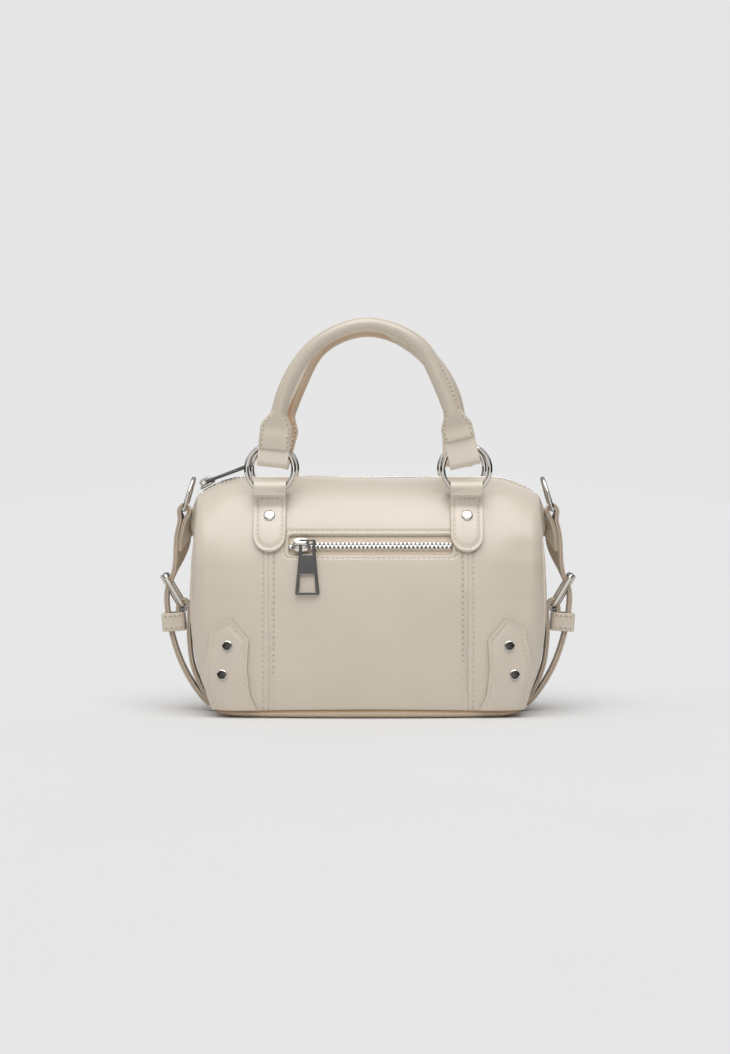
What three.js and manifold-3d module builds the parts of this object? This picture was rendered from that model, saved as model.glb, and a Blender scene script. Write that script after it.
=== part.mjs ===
// Small leather bowling bag: a hollow panelled body, two rolled handles on rings, a top zip,
// a front pocket zip, riveted corner patches and a buckled strap on each end.
// Millimetres, +Z up, the front faces -Y, the origin is on the floor under the middle of the bag.
import * as THREE from 'three';
import { mergeVertices } from 'three/addons/utils/BufferGeometryUtils.js';
import Module from 'manifold-3d';

const wasm = await Module();
wasm.setup();

// Clearance, welding distance and leather thickness
const GAP = 0.35;
const WELD = 1e-4;
const WALL = 1.8;
const PATCH_LEATHER = 1.5;
const PATCH_LIFT = 0.6;
const CHAPE_LEATHER = 2.4;

// Body: sections at the levels of the middle of the bag. Depths are halved, corner is the rounding of
// the upright edges, droop the share of the zip line's fall, dish and beak shape the end panel.
const SECTION_COLUMNS = ['level', 'halfWidth', 'halfDepth', 'endDepth', 'corner', 'droop', 'dish', 'beak'];
const SECTIONS = [
  [0, 88, 50, 44, 10, 0, 0, 0],
  [2, 92.4, 53, 46.6, 10, 0, 0.3, 0],
  [5, 96, 54.9, 48.3, 10, 0, 0.8, 0],
  [14, 99.6, 56.2, 49.6, 10.5, 0, 1.8, 0],
  [30, 104.8, 57, 50.6, 11, 0, 2.5, 0],
  [52, 108.4, 57.2, 50.8, 11, 0, 2.2, 0],
  [76, 110.2, 56.6, 49.8, 11, 0, 0.5, 0],
  [94, 109.8, 54.6, 47.2, 10, 0.04, -2, 0.4],
  [108, 108.9, 50.8, 43, 9, 0.15, -4.5, 5.2],
  [120, 108.1, 45.6, 37, 7.5, 0.36, -5, 8.2],
  [131, 107.5, 38, 29, 6, 0.6, -4, 7.2],
  [139.5, 107, 28.5, 20.5, 4.2, 0.82, -2, 4],
  [145, 106.5, 17, 12.5, 2.6, 0.95, -0.5, 1.5],
  [147.2, 106, 7, 7, 1.5, 1, 0, 0],
].map((row) => Object.fromEntries(SECTION_COLUMNS.map((name, k) => [name, row[k]])));
const BASE_SEAM_LEVEL = 5;
const UPRIGHT_SEAM_X = 61;
const CORNER_ANGLE = THREE.MathUtils.degToRad(65);
const FRONT_BOW = 2.4;
const END_ROUNDING = 6;
const BEAK_WIDTH = 7;
const ZIP_LINE = { level: 147.2, fallStart: 76, end: 106, fall: 10.5, fallSpans: 4 };
const SPANS = { center: 6, side: 4, corner: 3, halfEnd: 4 };

// Front pocket zip and the parts that both zips share
const POCKET = { left: -48.6, right: 51.4, low: 99.7, high: 111.8, round: 2.5, roundSteps: 2 };
const TAPE = { thickness: 0.9, pastSlot: 3.6, bendLevel: 108, topHalf: 9, topDrop: 1.3, columns: 10 };
const CHAIN = { half: 2.6, thickness: 2, proud: 0.2, pocketLevel: 105.4 };
const SLIDER = {
  halfLength: 5.3,
  halfWidth: 4.5,
  plate: 1.9,
  lift: 0.55,
  leg: 1.5,
  bridge: 2.6,
  pocketBridgeHalf: 4.7,
  topBridgeHalf: 4.3,
  slot: 2.4,
  crown: 1.4,
  roundSteps: 7,
};
const PULL = {
  thickness: 1.3,
  length: 29.5,
  top: 2.9,
  eyeHalf: 3.2,
  topHalf: 4.7,
  footHalf: 6.8,
  wire: 1.4,
  chamfer: 1,
};
const PULL_WINDOW = { high: -18.4, low: -27.8, highHalf: 4.3, lowHalf: 5.1 };
const PULL_EYE = { low: -6.6, shoulder: -7.8 };
const POCKET_PULL = { x: -36.9, tilt: THREE.MathUtils.degToRad(6) };
const TOP_SLIDER_X = -100;
const TOP_PULL_SLOPE = THREE.MathUtils.degToRad(20.7);

// Chapes, rings and handles
const RING = { x: 60.3, y: 38, z: 152, radius: 14.5, wire: 1.5, sides: 6, steps: 20 };
const CHAPE = {
  halfWidth: 10,
  low: 101,
  loopZ: 139.8,
  loopInner: 4.2,
  loopOuter: 5.7,
  loopSteps: 7,
  columns: 3,
  rivetLevel: 124.5,
};
const CHAPE_LEVELS = [101.4, 103.3, 106.3, 108, 111, 120, 131, 137.5];
const HANDLE_ARCH = [
  { x: -57.95, z: 163.7 },
  { x: -54.9, z: 186.3 },
  { x: -46.8, z: 207.4 },
  { x: -30.3, z: 228.6 },
  { x: -0.6, z: 240.3 },
  { x: 29.5, z: 228.6 },
  { x: 42.7, z: 207.4 },
  { x: 51, z: 188.4 },
  { x: 57.45, z: 163.7 },
];
const HANDLE = {
  steps: 26,
  sides: 10,
  rollLow: 5.6,
  rollHigh: 4.7,
  flatHalf: 9.75,
  endHalf: 4.8,
  neckHalf: 3.9,
  flatPower: 6,
  rollPower: 2,
};
const HANDLE_LEVELS = { flat: 177, rolled: 188, fork: 171, apex: 240.3 };
const BACK_HANDLE_SWAY = 5.5;
const HANDLE_LOOP = {
  halfWidth: 9.5,
  low: -10.7,
  cavityLow: -9.2,
  cavityHigh: 4.5,
  high: 7,
  inner: 1.8,
  outer: 3.3,
  roundSteps: 4,
};

// Corner patches: rows up the front, with the edge towards the middle and the edge towards the end
const PATCH_ROWS = [
  { level: 5.6, inner: 68, outer: 94.8 },
  { level: 14, inner: 72, outer: 97.6 },
  { level: 30, inner: 73.8, outer: 100 },
  { level: 48, inner: 72.7, outer: 96.8 },
  { level: 52, inner: 76.3, outer: 96.2 },
  { level: 54.5, inner: 78.6, outer: 95.9 },
  { level: 60.5, inner: 83.5, outer: 84.7 },
];
const PATCH_COLUMNS = [0, 0.35, 0.62, 0.8, 0.91, 1];
const PATCH_RIVETS = [
  { x: 85.7, level: 44.4 },
  { x: 88.9, level: 26.8 },
];
const RIVET = {
  patchRadius: 3.2,
  chapeRadius: 3.5,
  rim: 0.5,
  dome: 1.2,
  shoulder: 0.72,
  shoulderRise: 0.85,
  sides: 8,
};

// End straps, as seen on the right: routes of the leather's middle line in x and z
const STRAP = { width: 14, upper: 2.4, lower: 2, stepsPerSpan: 3 };
const UPPER_STRAP_ROUTE = [
  { x: 117, z: 106.5 },
  { x: 113.3, z: 115.5 },
  { x: 112.4, z: 126.2 },
  { x: 115.4, z: 129.5 },
  { x: 118.4, z: 126.2 },
  { x: 119.7, z: 111 },
  { x: 121.3, z: 97 },
  { x: 123.5, z: 86.8 },
  { x: 126.3, z: 75.5 },
  { x: 125.7, z: 60 },
  { x: 120.2, z: 37.5 },
  { x: 114.4, z: 22.9 },
  { x: 105.6, z: 8.2 },
];
const LOWER_STRAP_ROUTE = [
  { x: 115.6, z: 43.5 },
  { x: 118.6, z: 52 },
  { x: 119.1, z: 66.4 },
  { x: 116, z: 69.5 },
  { x: 112.9, z: 66.4 },
  { x: 112.7, z: 49 },
  { x: 110.6, z: 30 },
  { x: 106.6, z: 17.5 },
  { x: 100.1, z: 6.2 },
];
const D_RING = {
  x: 115.4,
  z: 126.4,
  half: 9.3,
  bend: 1.5,
  legs: 4,
  height: 20.2,
  wire: 1.3,
  lean: 16.8,
  sides: 6,
  arcSteps: 10,
};
const BUCKLE = {
  x: 116,
  z: 66.4,
  length: 22,
  half: 9.3,
  corner: 2.5,
  cornerSpans: 2,
  wire: 1.5,
  lean: 30.6,
  sides: 6,
};
const PRONG = { wrap: 2.9, wrapSpans: 5, wire: 1.05, past: 1.2, sides: 6, hole: 0.45 };
const KEEPER = {
  x: 122.1,
  z: 56,
  halfX: 7.3,
  halfY: 9.1,
  height: 11.5,
  wall: 1.5,
  round: 2,
  roundSteps: 2,
  tilt: 4,
};

// Finishes
const leather = new THREE.MeshStandardMaterial({ color: 0xd8cebf, roughness: 0.5 });
const cloth = new THREE.MeshStandardMaterial({ color: 0xe2dacd, roughness: 0.85 });
const metal = new THREE.MeshStandardMaterial({ color: 0xcfcdc8, roughness: 0.18, metalness: 1 });

const bag = new THREE.Group();

function addPiece(name, geometry, material) {
  const piece = new THREE.Mesh(geometry, material);
  piece.name = name;
  bag.add(piece);
  return piece;
}

// Closed meshes from points and triangles, turned so that their faces point out
function solidFrom(points, faces) {
  const volume = faces.reduce((sum, [a, b, c]) => {
    const normal = points[b].clone().cross(points[c]);
    return sum + points[a].dot(normal);
  }, 0);
  const geometry = new THREE.BufferGeometry().setFromPoints(points);
  geometry.setIndex(faces.flatMap(([a, b, c]) => (volume > 0 ? [a, b, c] : [a, c, b])));
  return geometry;
}

// Two triangles for the four corners of each cell between two rows of point numbers
function stitchRows(rowA, rowB, closed) {
  const cells = closed ? rowA.length : rowA.length - 1;
  return Array.from({ length: cells }, (_, k) => {
    const next = (k + 1) % rowA.length;
    return [
      [rowA[k], rowA[next], rowB[next]],
      [rowA[k], rowB[next], rowB[k]],
    ];
  }).flat();
}

// A skin over rings of equal count, closed end to end or capped at both ends
function loft(rings, endless = false) {
  const sides = rings[0].length;
  const points = rings.flat();
  const numbers = rings.map((_, k) => Array.from({ length: sides }, (_unused, j) => k * sides + j));
  const faces = numbers.slice(1).flatMap((row, k) => stitchRows(numbers[k], row, true));
  if (endless) {
    faces.push(...stitchRows(numbers.at(-1), numbers[0], true));
    return solidFrom(points, faces);
  }
  const cap = (ring, row, flip) => {
    const centre = ring.reduce((sum, p) => sum.add(p), new THREE.Vector3()).divideScalar(sides);
    points.push(centre);
    row.forEach((a, j) => {
      const b = row[(j + 1) % sides];
      faces.push(flip ? [b, a, points.length - 1] : [a, b, points.length - 1]);
    });
  };
  cap(rings[0], numbers[0], true);
  cap(rings.at(-1), numbers.at(-1), false);
  return solidFrom(points, faces);
}

// A wall between two grids of the same rows and columns
function slab(outer, inner) {
  const rows = outer.length;
  const columns = outer[0].length;
  const number = (layer, i, j) => (layer * rows + i) * columns + j;
  const rowOf = (layer, i) => Array.from({ length: columns }, (_, j) => number(layer, i, j));
  const columnOf = (layer, j) => Array.from({ length: rows }, (_, i) => number(layer, i, j));
  const faces = [];
  for (let i = 0; i + 1 < rows; i += 1) {
    faces.push(...stitchRows(rowOf(0, i), rowOf(0, i + 1), false));
    faces.push(...stitchRows(rowOf(1, i + 1), rowOf(1, i), false));
  }
  faces.push(...stitchRows(rowOf(1, 0), rowOf(0, 0), false));
  faces.push(...stitchRows(rowOf(0, rows - 1), rowOf(1, rows - 1), false));
  faces.push(...stitchRows(columnOf(0, 0), columnOf(1, 0), false));
  faces.push(...stitchRows(columnOf(1, columns - 1), columnOf(0, columns - 1), false));
  return solidFrom([...outer.flat(), ...inner.flat()], faces);
}

// Boolean joins and cuts
function toSolid(geometry) {
  const bare = geometry.clone();
  bare.deleteAttribute('normal');
  bare.deleteAttribute('uv');
  const merged = mergeVertices(bare, WELD);
  const vertProperties = new Float32Array(merged.attributes.position.array);
  const triVerts = new Uint32Array(merged.index.array);
  return new wasm.Manifold(new wasm.Mesh({ numProp: 3, vertProperties, triVerts }));
}

function fromSolid(solid) {
  const { vertProperties, triVerts } = solid.getMesh();
  const geometry = new THREE.BufferGeometry();
  geometry.setAttribute('position', new THREE.BufferAttribute(vertProperties, 3));
  geometry.setIndex(new THREE.BufferAttribute(triVerts, 1));
  return geometry;
}

function cut(geometry, ...tools) {
  return fromSolid(tools.reduce((solid, tool) => solid.subtract(toSolid(tool)), toSolid(geometry)));
}

function join(...geometries) {
  return fromSolid(geometries.map(toSolid).reduce((sum, solid) => sum.add(solid)));
}

// A section of a swept piece: a round or squarish ring in the plane of two unit directions
function sectionRing(centre, sideways, upright, halfSide, halfUp, power, sides) {
  const rounded = (value) => Math.sign(value) * Math.abs(value) ** (2 / power);
  return Array.from({ length: sides }, (_, k) => {
    const angle = ((k + 0.5) / sides) * Math.PI * 2;
    return centre
      .clone()
      .addScaledVector(sideways, halfSide * rounded(Math.cos(angle)))
      .addScaledVector(upright, halfUp * rounded(Math.sin(angle)));
  });
}

// Sweeps a section along points that lie in one plane with the given normal
function sweep(path, planeNormal, sizeAt, sides, endless = false) {
  const last = path.length - 1;
  const rings = path.map((point, k) => {
    const before = path[endless ? (k + last) % path.length : Math.max(0, k - 1)];
    const after = path[endless ? (k + 1) % path.length : Math.min(last, k + 1)];
    const tangent = after.clone().sub(before).normalize();
    const sideways = tangent.clone().cross(planeNormal).normalize();
    const { side, up, power } = sizeAt(point);
    return sectionRing(point, sideways, planeNormal, side, up, power, sides);
  });
  return loft(rings, endless);
}

function wireAlong(path, planeNormal, radius, sides, endless) {
  return sweep(path, planeNormal, () => ({ side: radius, up: radius, power: 2 }), sides, endless);
}

const AXIS_X = new THREE.Vector3(1, 0, 0);
const AXIS_Y = new THREE.Vector3(0, 1, 0);
const AXIS_Z = new THREE.Vector3(0, 0, 1);

// Turns an outline drawn in y and z, extruded by its width, to run along x about the middle
function extrudeAlongX(shape, width, curveSegments) {
  const geometry = new THREE.ExtrudeGeometry(shape, { depth: width, bevelEnabled: false, curveSegments });
  geometry.translate(0, 0, -width / 2);
  return geometry.applyMatrix4(new THREE.Matrix4().makeBasis(AXIS_Y, AXIS_Z, AXIS_X));
}

// The body's section at a level, worked out between the rows of the table
function sectionAt(level) {
  const above = SECTIONS.findIndex((row) => row.level >= level);
  const next = above < 0 ? SECTIONS.length - 1 : Math.max(1, above);
  const low = SECTIONS[next - 1];
  const high = SECTIONS[next];
  const share = (level - low.level) / (high.level - low.level);
  const section = {};
  for (const key of Object.keys(low)) {
    section[key] = THREE.MathUtils.lerp(low[key], high[key], share);
  }
  section.straight = section.halfWidth - section.corner;
  section.seamX = section.halfWidth - section.corner * (1 - Math.sin(CORNER_ANGLE));
  section.seamY = section.endDepth - section.corner * (1 - Math.cos(CORNER_ANGLE));
  return section;
}

// How far the zip line has fallen at a distance from the middle
function zipFall(x) {
  const share = Math.max(0, Math.abs(x) - ZIP_LINE.fallStart) / (ZIP_LINE.end - ZIP_LINE.fallStart);
  return ZIP_LINE.fall * share ** 2;
}

function frontDepth(section, x) {
  if (x <= section.straight) {
    const bow = (section.halfDepth - section.endDepth) * (x / section.straight) ** FRONT_BOW;
    return section.halfDepth - bow;
  }
  const sine = Math.min(1, (x - section.straight) / section.corner);
  return section.endDepth - section.corner * (1 - Math.sqrt(1 - sine ** 2));
}

// A point of the front at a distance from the middle and a level
function frontPoint(x, level) {
  const section = sectionAt(level);
  const away = Math.abs(x);
  const fall = section.droop * zipFall((away / section.seamX) * ZIP_LINE.end);
  return new THREE.Vector3(x, -frontDepth(section, away), level - fall);
}

// A point of the end panel: share is 1 at its front seam and 0 at the middle
function endPoint(level, share) {
  const section = sectionAt(level);
  const y = -share * section.seamY;
  const rounding = (section.halfWidth - section.seamX) * (1 - share ** END_ROUNDING);
  const beak = section.beak * Math.exp(-((y / BEAK_WIDTH) ** 2));
  const x = section.seamX + rounding + (section.dish + beak) * (1 - share ** 2);
  return new THREE.Vector3(x, y, level - section.droop * ZIP_LINE.fall);
}

// A point of a quarter of the skin: station 0 is the middle of the front, 1 the upright seam,
// 2 the start of the corner, 3 the end panel's seam and 4 the middle of the end
function quarterPoint(level, station) {
  if (station > 3) {
    return endPoint(level, 4 - station);
  }
  const section = sectionAt(level);
  if (station <= 1) {
    return frontPoint(station * UPRIGHT_SEAM_X, level);
  }
  if (station <= 2) {
    return frontPoint(THREE.MathUtils.lerp(UPRIGHT_SEAM_X, section.straight, station - 1), level);
  }
  return frontPoint(section.straight + section.corner * Math.sin((station - 2) * CORNER_ANGLE), level);
}

// The quarter carried on past its two ends by mirroring
function skinPoint(level, station) {
  if (station < 0) {
    return quarterPoint(level, -station).multiply(new THREE.Vector3(-1, 1, 1));
  }
  if (station > 4) {
    return quarterPoint(level, 8 - station).multiply(new THREE.Vector3(1, -1, 1));
  }
  return quarterPoint(level, station);
}

// The outward normal of a surface whose first number runs up and whose second runs to the right
function normalOf(pointAt, level, along) {
  const step = 1e-3;
  const here = pointAt(level, along);
  const heading = (before, after) => {
    const arriving = here.clone().sub(before).normalize();
    return after.clone().sub(here).normalize().add(arriving);
  };
  const up = heading(pointAt(level - step, along), pointAt(level + step, along));
  const right = heading(pointAt(level, along - step), pointAt(level, along + step));
  return right.cross(up).normalize();
}

// Columns of a panel: stations with the side (x) and the face (y) that they are mirrored to
function columnsBetween(from, to, spans, side, face) {
  return Array.from({ length: spans + 1 }, (_, k) => {
    const station = THREE.MathUtils.lerp(from, to, k / spans);
    return { station, side, face };
  });
}

function skinGrid(levels, columns, depth) {
  return levels.map((level) =>
    columns.map(({ station, side, face }) => {
      const normal = normalOf(skinPoint, level, station);
      const point = skinPoint(level, station).addScaledVector(normal, -depth);
      return point.multiply(new THREE.Vector3(side, -face, 1));
    }),
  );
}

// Draws the edges of a grid in by half a seam's gap
function easeEdges(grid) {
  const rows = grid.length - 1;
  const columns = grid[0].length - 1;
  const towards = (point, target) => target.clone().sub(point).setLength(GAP / 2);
  return grid.map((row, i) =>
    row.map((point, j) => {
      const moved = point.clone();
      if (i === 0) moved.add(towards(point, grid[1][j]));
      if (i === rows) moved.add(towards(point, grid[rows - 1][j]));
      if (j === 0) moved.add(towards(point, row[1]));
      if (j === columns) moved.add(towards(point, row[columns - 1]));
      return moved;
    }),
  );
}

const WALL_LEVELS = SECTIONS.map((row) => row.level).filter((level) => level >= BASE_SEAM_LEVEL);

function panel(columns) {
  return slab(
    easeEdges(skinGrid(WALL_LEVELS, columns, 0)),
    easeEdges(skinGrid(WALL_LEVELS, columns, WALL)),
  );
}

function centerColumns(face) {
  const left = columnsBetween(1, 0, SPANS.center / 2, -1, face);
  const right = columnsBetween(0, 1, SPANS.center / 2, 1, face);
  return [...left, ...right.slice(1)];
}

function sideColumns(side, face) {
  const straight = columnsBetween(1, 2, SPANS.side, side, face);
  const corner = columnsBetween(2, 3, SPANS.corner, side, face);
  return [...straight, ...corner.slice(1)];
}

function endColumns(side) {
  const front = columnsBetween(3, 4, SPANS.halfEnd, side, -1);
  const back = columnsBetween(4, 3, SPANS.halfEnd, side, 1);
  return [...front, ...back.slice(1)];
}

// The whole way round, from the left upright seam of the front
function roundColumns() {
  const runs = [
    centerColumns(-1),
    sideColumns(1, -1),
    endColumns(1),
    sideColumns(1, 1).reverse(),
    centerColumns(1).reverse(),
    sideColumns(-1, 1),
    endColumns(-1).reverse(),
    sideColumns(-1, -1).reverse(),
  ];
  return runs.flatMap((run) => run.slice(1));
}

function pocketSlot() {
  const { left, right, low, high, round, roundSteps } = POCKET;
  const outline = new THREE.Shape();
  outline.moveTo(left + round, low);
  outline.lineTo(right - round, low);
  outline.absarc(right - round, low + round, round, -Math.PI / 2, 0);
  outline.lineTo(right, high - round);
  outline.absarc(right - round, high - round, round, 0, Math.PI / 2);
  outline.lineTo(left + round, high);
  outline.absarc(left + round, high - round, round, Math.PI / 2, Math.PI);
  outline.lineTo(left, low + round);
  outline.absarc(left + round, low + round, round, Math.PI, Math.PI * 1.5);
  const depth = SECTIONS[0].halfDepth;
  const tool = new THREE.ExtrudeGeometry(outline, { depth, bevelEnabled: false, curveSegments: roundSteps });
  tool.rotateX(Math.PI / 2);
  return tool.translate(0, -depth / 2, 0);
}

// The bottom curls up to its seam all round and is flat on the floor
function bottomPanel() {
  const columns = roundColumns();
  const [seam, lip, base] = [BASE_SEAM_LEVEL, SECTIONS[1].level, SECTIONS[0].level];
  const drawnDown = (ring) => ring.map((point) => point.clone().setZ(point.z - GAP / 2));
  const [outerSeam, outerLip, outerBase] = skinGrid([seam, lip, base], columns, 0);
  const [innerSeam, innerLip] = skinGrid([seam, lip], columns, WALL);
  const innerBase = outerBase.map((point) => {
    const share = 1 - WALL / Math.hypot(point.x, point.y);
    return new THREE.Vector3(point.x * share, point.y * share, WALL);
  });
  return loft([outerBase, outerLip, drawnDown(outerSeam), drawnDown(innerSeam), innerLip, innerBase]);
}

function addBody() {
  for (const face of [-1, 1]) {
    const name = face < 0 ? 'front' : 'back';
    const center = panel(centerColumns(face));
    addPiece(`${name}_center_panel`, face < 0 ? cut(center, pocketSlot()) : center, leather);
    addPiece(`${name}_left_panel`, panel(sideColumns(-1, face)), leather);
    addPiece(`${name}_right_panel`, panel(sideColumns(1, face)), leather);
  }
  addPiece('left_end_panel', panel(endColumns(-1)), leather);
  addPiece('right_end_panel', panel(endColumns(1)), leather);
  addPiece('bottom_panel', bottomPanel(), leather);
}

// A layer that lies on the front, or mirrored to the back: rows of a left and a right edge
function surfaceLayer(rows, shares, low, high, face = -1) {
  const pointOn = (level, x) => frontPoint(x, level);
  const grid = (offset) =>
    rows.map(({ level, left, right }) =>
      shares.map((share) => {
        const x = THREE.MathUtils.lerp(left, right, share);
        const point = frontPoint(x, level).addScaledVector(normalOf(pointOn, level, x), offset);
        return point.multiply(new THREE.Vector3(1, -face, 1));
      }),
    );
  return slab(grid(high), grid(low));
}

function evenShares(spans) {
  return Array.from({ length: spans + 1 }, (_, k) => k / spans);
}

// A place on the front or back, raised off the leather, with its outward direction
function seatOn(x, level, lift, face) {
  const normal = normalOf((z, along) => frontPoint(along, z), level, x);
  const mirror = new THREE.Vector3(1, -face, 1);
  const position = frontPoint(x, level).addScaledVector(normal, lift).multiply(mirror);
  return { position, normal: normal.multiply(mirror) };
}

function addRivet(name, radius, seat) {
  const { rim, dome, shoulder, shoulderRise, sides } = RIVET;
  const profile = [
    new THREE.Vector2(0, 0),
    new THREE.Vector2(radius, 0),
    new THREE.Vector2(radius, rim),
    new THREE.Vector2(radius * shoulder, dome * shoulderRise),
    new THREE.Vector2(0, dome),
  ];
  const rivet = addPiece(name, new THREE.LatheGeometry(profile, sides), metal);
  rivet.position.copy(seat.position);
  rivet.quaternion.setFromUnitVectors(AXIS_Y, seat.normal);
}

function chapeGeometry(side, face) {
  const { halfWidth, low, loopZ, loopInner, loopOuter, loopSteps, columns } = CHAPE;
  const roundTop = low + halfWidth;
  const rows = CHAPE_LEVELS.map((level) => {
    const below = Math.max(0, roundTop - level);
    const half = Math.sqrt(halfWidth ** 2 - below ** 2);
    return { level, left: side * RING.x - half, right: side * RING.x + half };
  });
  const tab = surfaceLayer(rows, evenShares(columns), GAP, GAP + CHAPE_LEATHER, face);
  const roll = new THREE.Shape().absarc(0, 0, loopOuter, 0, Math.PI * 2);
  roll.holes.push(new THREE.Path().absarc(0, 0, loopInner, 0, Math.PI * 2, true));
  const loop = extrudeAlongX(roll, halfWidth * 2, loopSteps);
  loop.translate(side * RING.x, face * RING.y, loopZ);
  return join(tab, loop);
}

function addChape(name, side, face) {
  addPiece(`${name}_chape`, chapeGeometry(side, face), leather);
  const lift = CHAPE_LEATHER + GAP * 2;
  addRivet(`${name}_chape_rivet`, RIVET.chapeRadius, seatOn(side * RING.x, CHAPE.rivetLevel, lift, face));
  const ring = addPiece(
    `${name}_ring`,
    new THREE.TorusGeometry(RING.radius, RING.wire, RING.sides, RING.steps),
    metal,
  );
  ring.rotation.x = Math.PI / 2;
  ring.position.set(side * RING.x, face * RING.y, RING.z);
}

// The arch of a handle, swayed to the right between its ends and its top
function handlePath(sway) {
  const low = HANDLE_ARCH[0].z;
  const points = HANDLE_ARCH.map(({ x, z }) => {
    const height = (z - low) / (HANDLE_LEVELS.apex - low);
    return new THREE.Vector3(x + sway * Math.sin(Math.PI * height) ** 2, 0, z);
  });
  return new THREE.CatmullRomCurve3(points).getSpacedPoints(HANDLE.steps);
}

// Flat and squarish at the sewn ends, a round roll above
function handleSize({ z }) {
  const { smoothstep, lerp } = THREE.MathUtils;
  const rolled = smoothstep(z, HANDLE_LEVELS.flat, HANDLE_LEVELS.rolled);
  const pastFork = smoothstep(z, HANDLE_LEVELS.fork, HANDLE_LEVELS.flat);
  const risen = smoothstep(z, HANDLE_LEVELS.rolled, HANDLE_LEVELS.apex);
  const roll = lerp(HANDLE.rollLow, HANDLE.rollHigh, risen);
  const flat = lerp(HANDLE.endHalf, HANDLE.neckHalf, pastFork);
  return {
    side: lerp(HANDLE.flatHalf, roll, rolled),
    up: lerp(flat, roll, rolled),
    power: lerp(HANDLE.flatPower, HANDLE.rollPower, rolled),
  };
}

// The two ends of a handle: the middle of the sewn edge and how far the leg leans
function handleEnds(path) {
  const leanOf = (end, next) => Math.atan2(next.x - end.x, next.z - end.z);
  return [
    { name: 'left', position: path[0], lean: leanOf(path[0], path[1]) },
    { name: 'right', position: path.at(-1), lean: leanOf(path.at(-1), path.at(-2)) },
  ];
}

function placeAtEnd(geometry, { position, lean }) {
  return geometry.rotateY(lean).translate(position.x, position.y, position.z);
}

// The open fork of a sewn end, which takes the leather loop
function forkTool(end) {
  const depth = (HANDLE_LOOP.high + GAP) * 2;
  const tool = new THREE.BoxGeometry(HANDLE.flatHalf * 3, (HANDLE_LOOP.outer + GAP) * 2, depth);
  return placeAtEnd(tool, end);
}

function handleLoop(end) {
  const { halfWidth, low, cavityLow, cavityHigh, high, inner, outer, roundSteps } = HANDLE_LOOP;
  const band = new THREE.Shape();
  band.moveTo(outer, high);
  band.lineTo(-outer, high);
  band.lineTo(-outer, low + outer);
  band.absarc(0, low + outer, outer, Math.PI, Math.PI * 2);
  const cavity = new THREE.Path();
  cavity.moveTo(inner, cavityHigh);
  cavity.lineTo(-inner, cavityHigh);
  cavity.lineTo(-inner, cavityLow + inner);
  cavity.absarc(0, cavityLow + inner, inner, Math.PI, Math.PI * 2);
  band.holes.push(cavity);
  return placeAtEnd(extrudeAlongX(band, halfWidth * 2, roundSteps), end);
}

function addHandle(name, face, sway) {
  const path = handlePath(sway);
  const ends = handleEnds(path);
  const roll = sweep(path, AXIS_Y, handleSize, HANDLE.sides);
  const handle = addPiece(`${name}_handle`, cut(roll, ...ends.map(forkTool)), leather);
  handle.position.y = face * RING.y;
  for (const end of ends) {
    const loop = addPiece(`${name}_${end.name}_handle_loop`, handleLoop(end), leather);
    loop.position.y = face * RING.y;
  }
}

function addHandles() {
  for (const face of [-1, 1]) {
    const name = face < 0 ? 'front' : 'back';
    addChape(`${name}_left`, -1, face);
    addChape(`${name}_right`, 1, face);
    addHandle(name, face, face < 0 ? 0 : BACK_HANDLE_SWAY);
  }
}

function addPatch(name, side, face) {
  const rows = PATCH_ROWS.map(({ level, inner, outer }) => {
    return { level, left: side * inner, right: side * outer };
  });
  const patch = surfaceLayer(rows, PATCH_COLUMNS, PATCH_LIFT, PATCH_LIFT + PATCH_LEATHER, face);
  addPiece(`${name}_patch`, patch, leather);
  PATCH_RIVETS.forEach(({ x, level }, k) => {
    const seat = seatOn(side * x, level, PATCH_LIFT + PATCH_LEATHER + GAP, face);
    addRivet(`${name}_patch_rivet_${k + 1}`, RIVET.patchRadius, seat);
  });
}

function addPatches() {
  for (const face of [-1, 1]) {
    const name = face < 0 ? 'front' : 'back';
    addPatch(`${name}_left`, -1, face);
    addPatch(`${name}_right`, 1, face);
  }
}

// The slider: a plate over the teeth with a bridge that stands along it
function sliderGeometry(bridgeHalf) {
  const { halfLength, halfWidth, plate, leg, bridge, slot, crown, roundSteps } = SLIDER;
  const outline = new THREE.Shape().absellipse(0, 0, halfLength, halfWidth, 0, Math.PI * 2);
  const settings = { depth: plate, bevelEnabled: false, curveSegments: roundSteps };
  const body = new THREE.ExtrudeGeometry(outline, settings);
  const sunk = plate / 2;
  const high = plate + slot;
  const legs = [-1, 1].map((end) => {
    const post = new THREE.BoxGeometry(leg, leg, high - sunk + crown / 2);
    return post.translate(end * (bridgeHalf - leg / 2), 0, (sunk + high + crown / 2) / 2);
  });
  const bar = new THREE.BoxGeometry(bridgeHalf * 2, bridge, crown).translate(0, 0, high + crown / 2);
  return join(body, ...legs, bar);
}

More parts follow.
